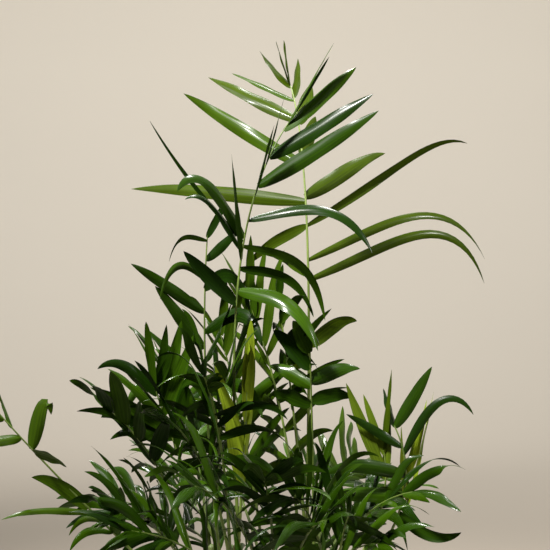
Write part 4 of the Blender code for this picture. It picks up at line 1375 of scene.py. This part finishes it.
class PALM_OT_chips(bpy.types.Operator):
    """Strew bark chips over the soil: dented, flattened balls, each turned its own way"""

    bl_idname = "palm.chips"
    bl_label = "Bark Chips"

    def execute(self, context):
        settings = context.scene.palm_pot
        dice = np.random.default_rng(12)
        turn = dice.uniform(0, 2 * math.pi, CHIP_COUNT)
        reach = (soil_edge() - CHIP_MARGIN) * np.sqrt(dice.uniform(0, 1, CHIP_COUNT))
        level = np.full(CHIP_COUNT, SOIL_TOP)
        ground = np.stack([reach * np.cos(turn), reach * np.sin(turn), level], axis=1)
        ground[:, 2] += mounds(ground)
        size = dice.uniform(*CHIP_SIZES, (CHIP_COUNT, 3)) * MM * CHIP_SHAPE
        latitude = np.linspace(-1, 1, CHIP_ROWS) * math.pi / 2 * CHIP_POLES
        ball = np.stack([np.cos(latitude), np.sin(latitude)], axis=1)
        ball = turned_rings(ball, CHIP_CORNERS)
        corners = (CHIP_COUNT, CHIP_ROWS, CHIP_CORNERS, 1)
        dents = 1 + dice.uniform(-CHIP_DENTS, CHIP_DENTS, corners)
        chips = ball * dents * size[:, None, None]
        yaw = dice.uniform(0, 2 * math.pi, CHIP_COUNT)
        tilt = dice.uniform(-CHIP_TILT, CHIP_TILT, CHIP_COUNT)
        chips = turn_about(turn_about(chips, tilt, 0), yaw, 2) + ground[:, None, None]
        skin = rough_material("bark_chip", settings.chips, settings.soil, 160.0)
        add_piece("bark_chips", rings_mesh("bark_chips", chips), (skin,), "potting_soil")
        return {"FINISHED"}


class PALM_OT_stage(bpy.types.Operator):
    """Make the floor, the wall it curves up into, the lights and the camera"""

    bl_idname = "palm.stage"
    bl_label = "Stage, Lights and Camera"

    def execute(self, context):
        settings = context.scene.palm_stage
        profile = rounded_profile(
            [(0.02, 0, 0), (STAGE_RADIUS, 0, STAGE_CURVE), (STAGE_RADIUS, STAGE_HEIGHT, 0)],
            steps=40,
        )
        mesh = rings_mesh("stage_floor", turned_rings(profile[::-1], STAGE_CORNERS))
        open_top(mesh)
        mesh.materials.append(stage_material(settings.floor, settings.paper))
        floor = bpy.data.objects.new("stage_floor", mesh)
        context.scene.collection.objects.link(floor)

        palm = (0, 0, LIGHT_AIM)
        key = settings.key
        add_area_light("key_light", (-1.1, -1.2, 2.5), 0.25, key, palm, 40)
        add_area_light("top_light", (0.3, 0.7, 2.4), 0.5, settings.top, palm, 70)
        add_area_light("back_light", (-0.5, 1.3, 1.9), 0.3, BACK_SHARE * key, palm, 50)
        add_area_light("side_light", (1.8, -0.9, 1.7), 0.3, SIDE_SHARE * key, palm, 70)
        add_area_light("wall_light", (0, 2.0, 2.5), 2.0, settings.wall, (0, 4.8, 0.6), 180)

        world = bpy.data.worlds.new("room")
        context.scene.world = world
        world.use_nodes = True
        room = world.node_tree.nodes["Background"]
        room.inputs["Color"].default_value = (*WARM_WHITE, 1.0)
        room.inputs["Strength"].default_value = settings.sky
        context.scene.view_settings.view_transform = "Standard"

        lens = bpy.data.cameras.new("camera")
        lens.sensor_width = SENSOR_WIDTH
        lens.lens = SENSOR_WIDTH / 2 * settings.camera_distance / HALF_VIEW
        camera = bpy.data.objects.new("camera", lens)
        camera.location = (CAMERA_SIDE, -settings.camera_distance, settings.camera_height)
        camera.rotation_euler = (math.radians(90), 0, 0)
        context.scene.collection.objects.link(camera)
        context.scene.camera = camera
        return {"FINISHED"}


def open_top(mesh):
    """Take the filled first ring, the last face but one, off a mesh of one tube."""
    shape = bmesh.new()
    shape.from_mesh(mesh)
    shape.faces.ensure_lookup_table()
    bmesh.ops.delete(shape, geom=[shape.faces[-2]], context="FACES_ONLY")
    shape.to_mesh(mesh)
    shape.free()


def add_area_light(name, place, size, power, target, spread):
    """A square warm light that looks at a place, and how wide it spreads, in degrees."""
    lamp = bpy.data.lights.new(name, "AREA")
    lamp.size = size
    lamp.energy = power
    lamp.spread = math.radians(spread)
    lamp.color = WARM_WHITE
    thing = bpy.data.objects.new(name, lamp)
    thing.location = place
    aim = Vector(target) - thing.location
    thing.rotation_mode = "QUATERNION"
    thing.rotation_quaternion = aim.to_track_quat("-Z", "Y")
    thing.visible_camera = False
    bpy.context.scene.collection.objects.link(thing)


class PALM_PT_palm(bpy.types.Panel):
    """The palm's pieces and their settings."""

    bl_label = "Potted Palm"
    bl_space_type = "VIEW_3D"
    bl_region_type = "UI"
    bl_category = "Palm"

    def draw(self, context):
        for operator in OPERATORS:
            self.layout.operator(operator.bl_idname)
        for name, group in SETTINGS.items():
            box = self.layout.box()
            for key in group.__annotations__:
                box.prop(getattr(context.scene, name), key)


SETTINGS = {
    "palm_leaves": LeafSettings,
    "palm_stems": StemSettings,
    "palm_pot": PotSettings,
    "palm_stage": StageSettings,
}
OPERATORS = (
    PALM_OT_pot,
    PALM_OT_soil,
    PALM_OT_chips,
    PALM_OT_canes,
    PALM_OT_sheaths,
    PALM_OT_petioles,
    PALM_OT_leaflets,
    PALM_OT_stage,
)
CLASSES = (*SETTINGS.values(), *OPERATORS, PALM_PT_palm)


def register():
    """Register the classes and hang the settings on the scene."""
    for made in CLASSES:
        bpy.utils.register_class(made)
    for name, group in SETTINGS.items():
        setattr(bpy.types.Scene, name, bpy.props.PointerProperty(type=group))


def unregister():
    """Take the settings off the scene and unregister the classes."""
    for name in SETTINGS:
        delattr(bpy.types.Scene, name)
    for made in reversed(CLASSES):
        bpy.utils.unregister_class(made)


def main():
    """Make every piece in order."""
    register()
    bpy.ops.palm.pot()
    bpy.ops.palm.soil()
    bpy.ops.palm.chips()
    bpy.ops.palm.canes()
    bpy.ops.palm.sheaths()
    bpy.ops.palm.petioles()
    bpy.ops.palm.leaflets()
    bpy.ops.palm.stage()


if __name__ == "__main__":
    main()
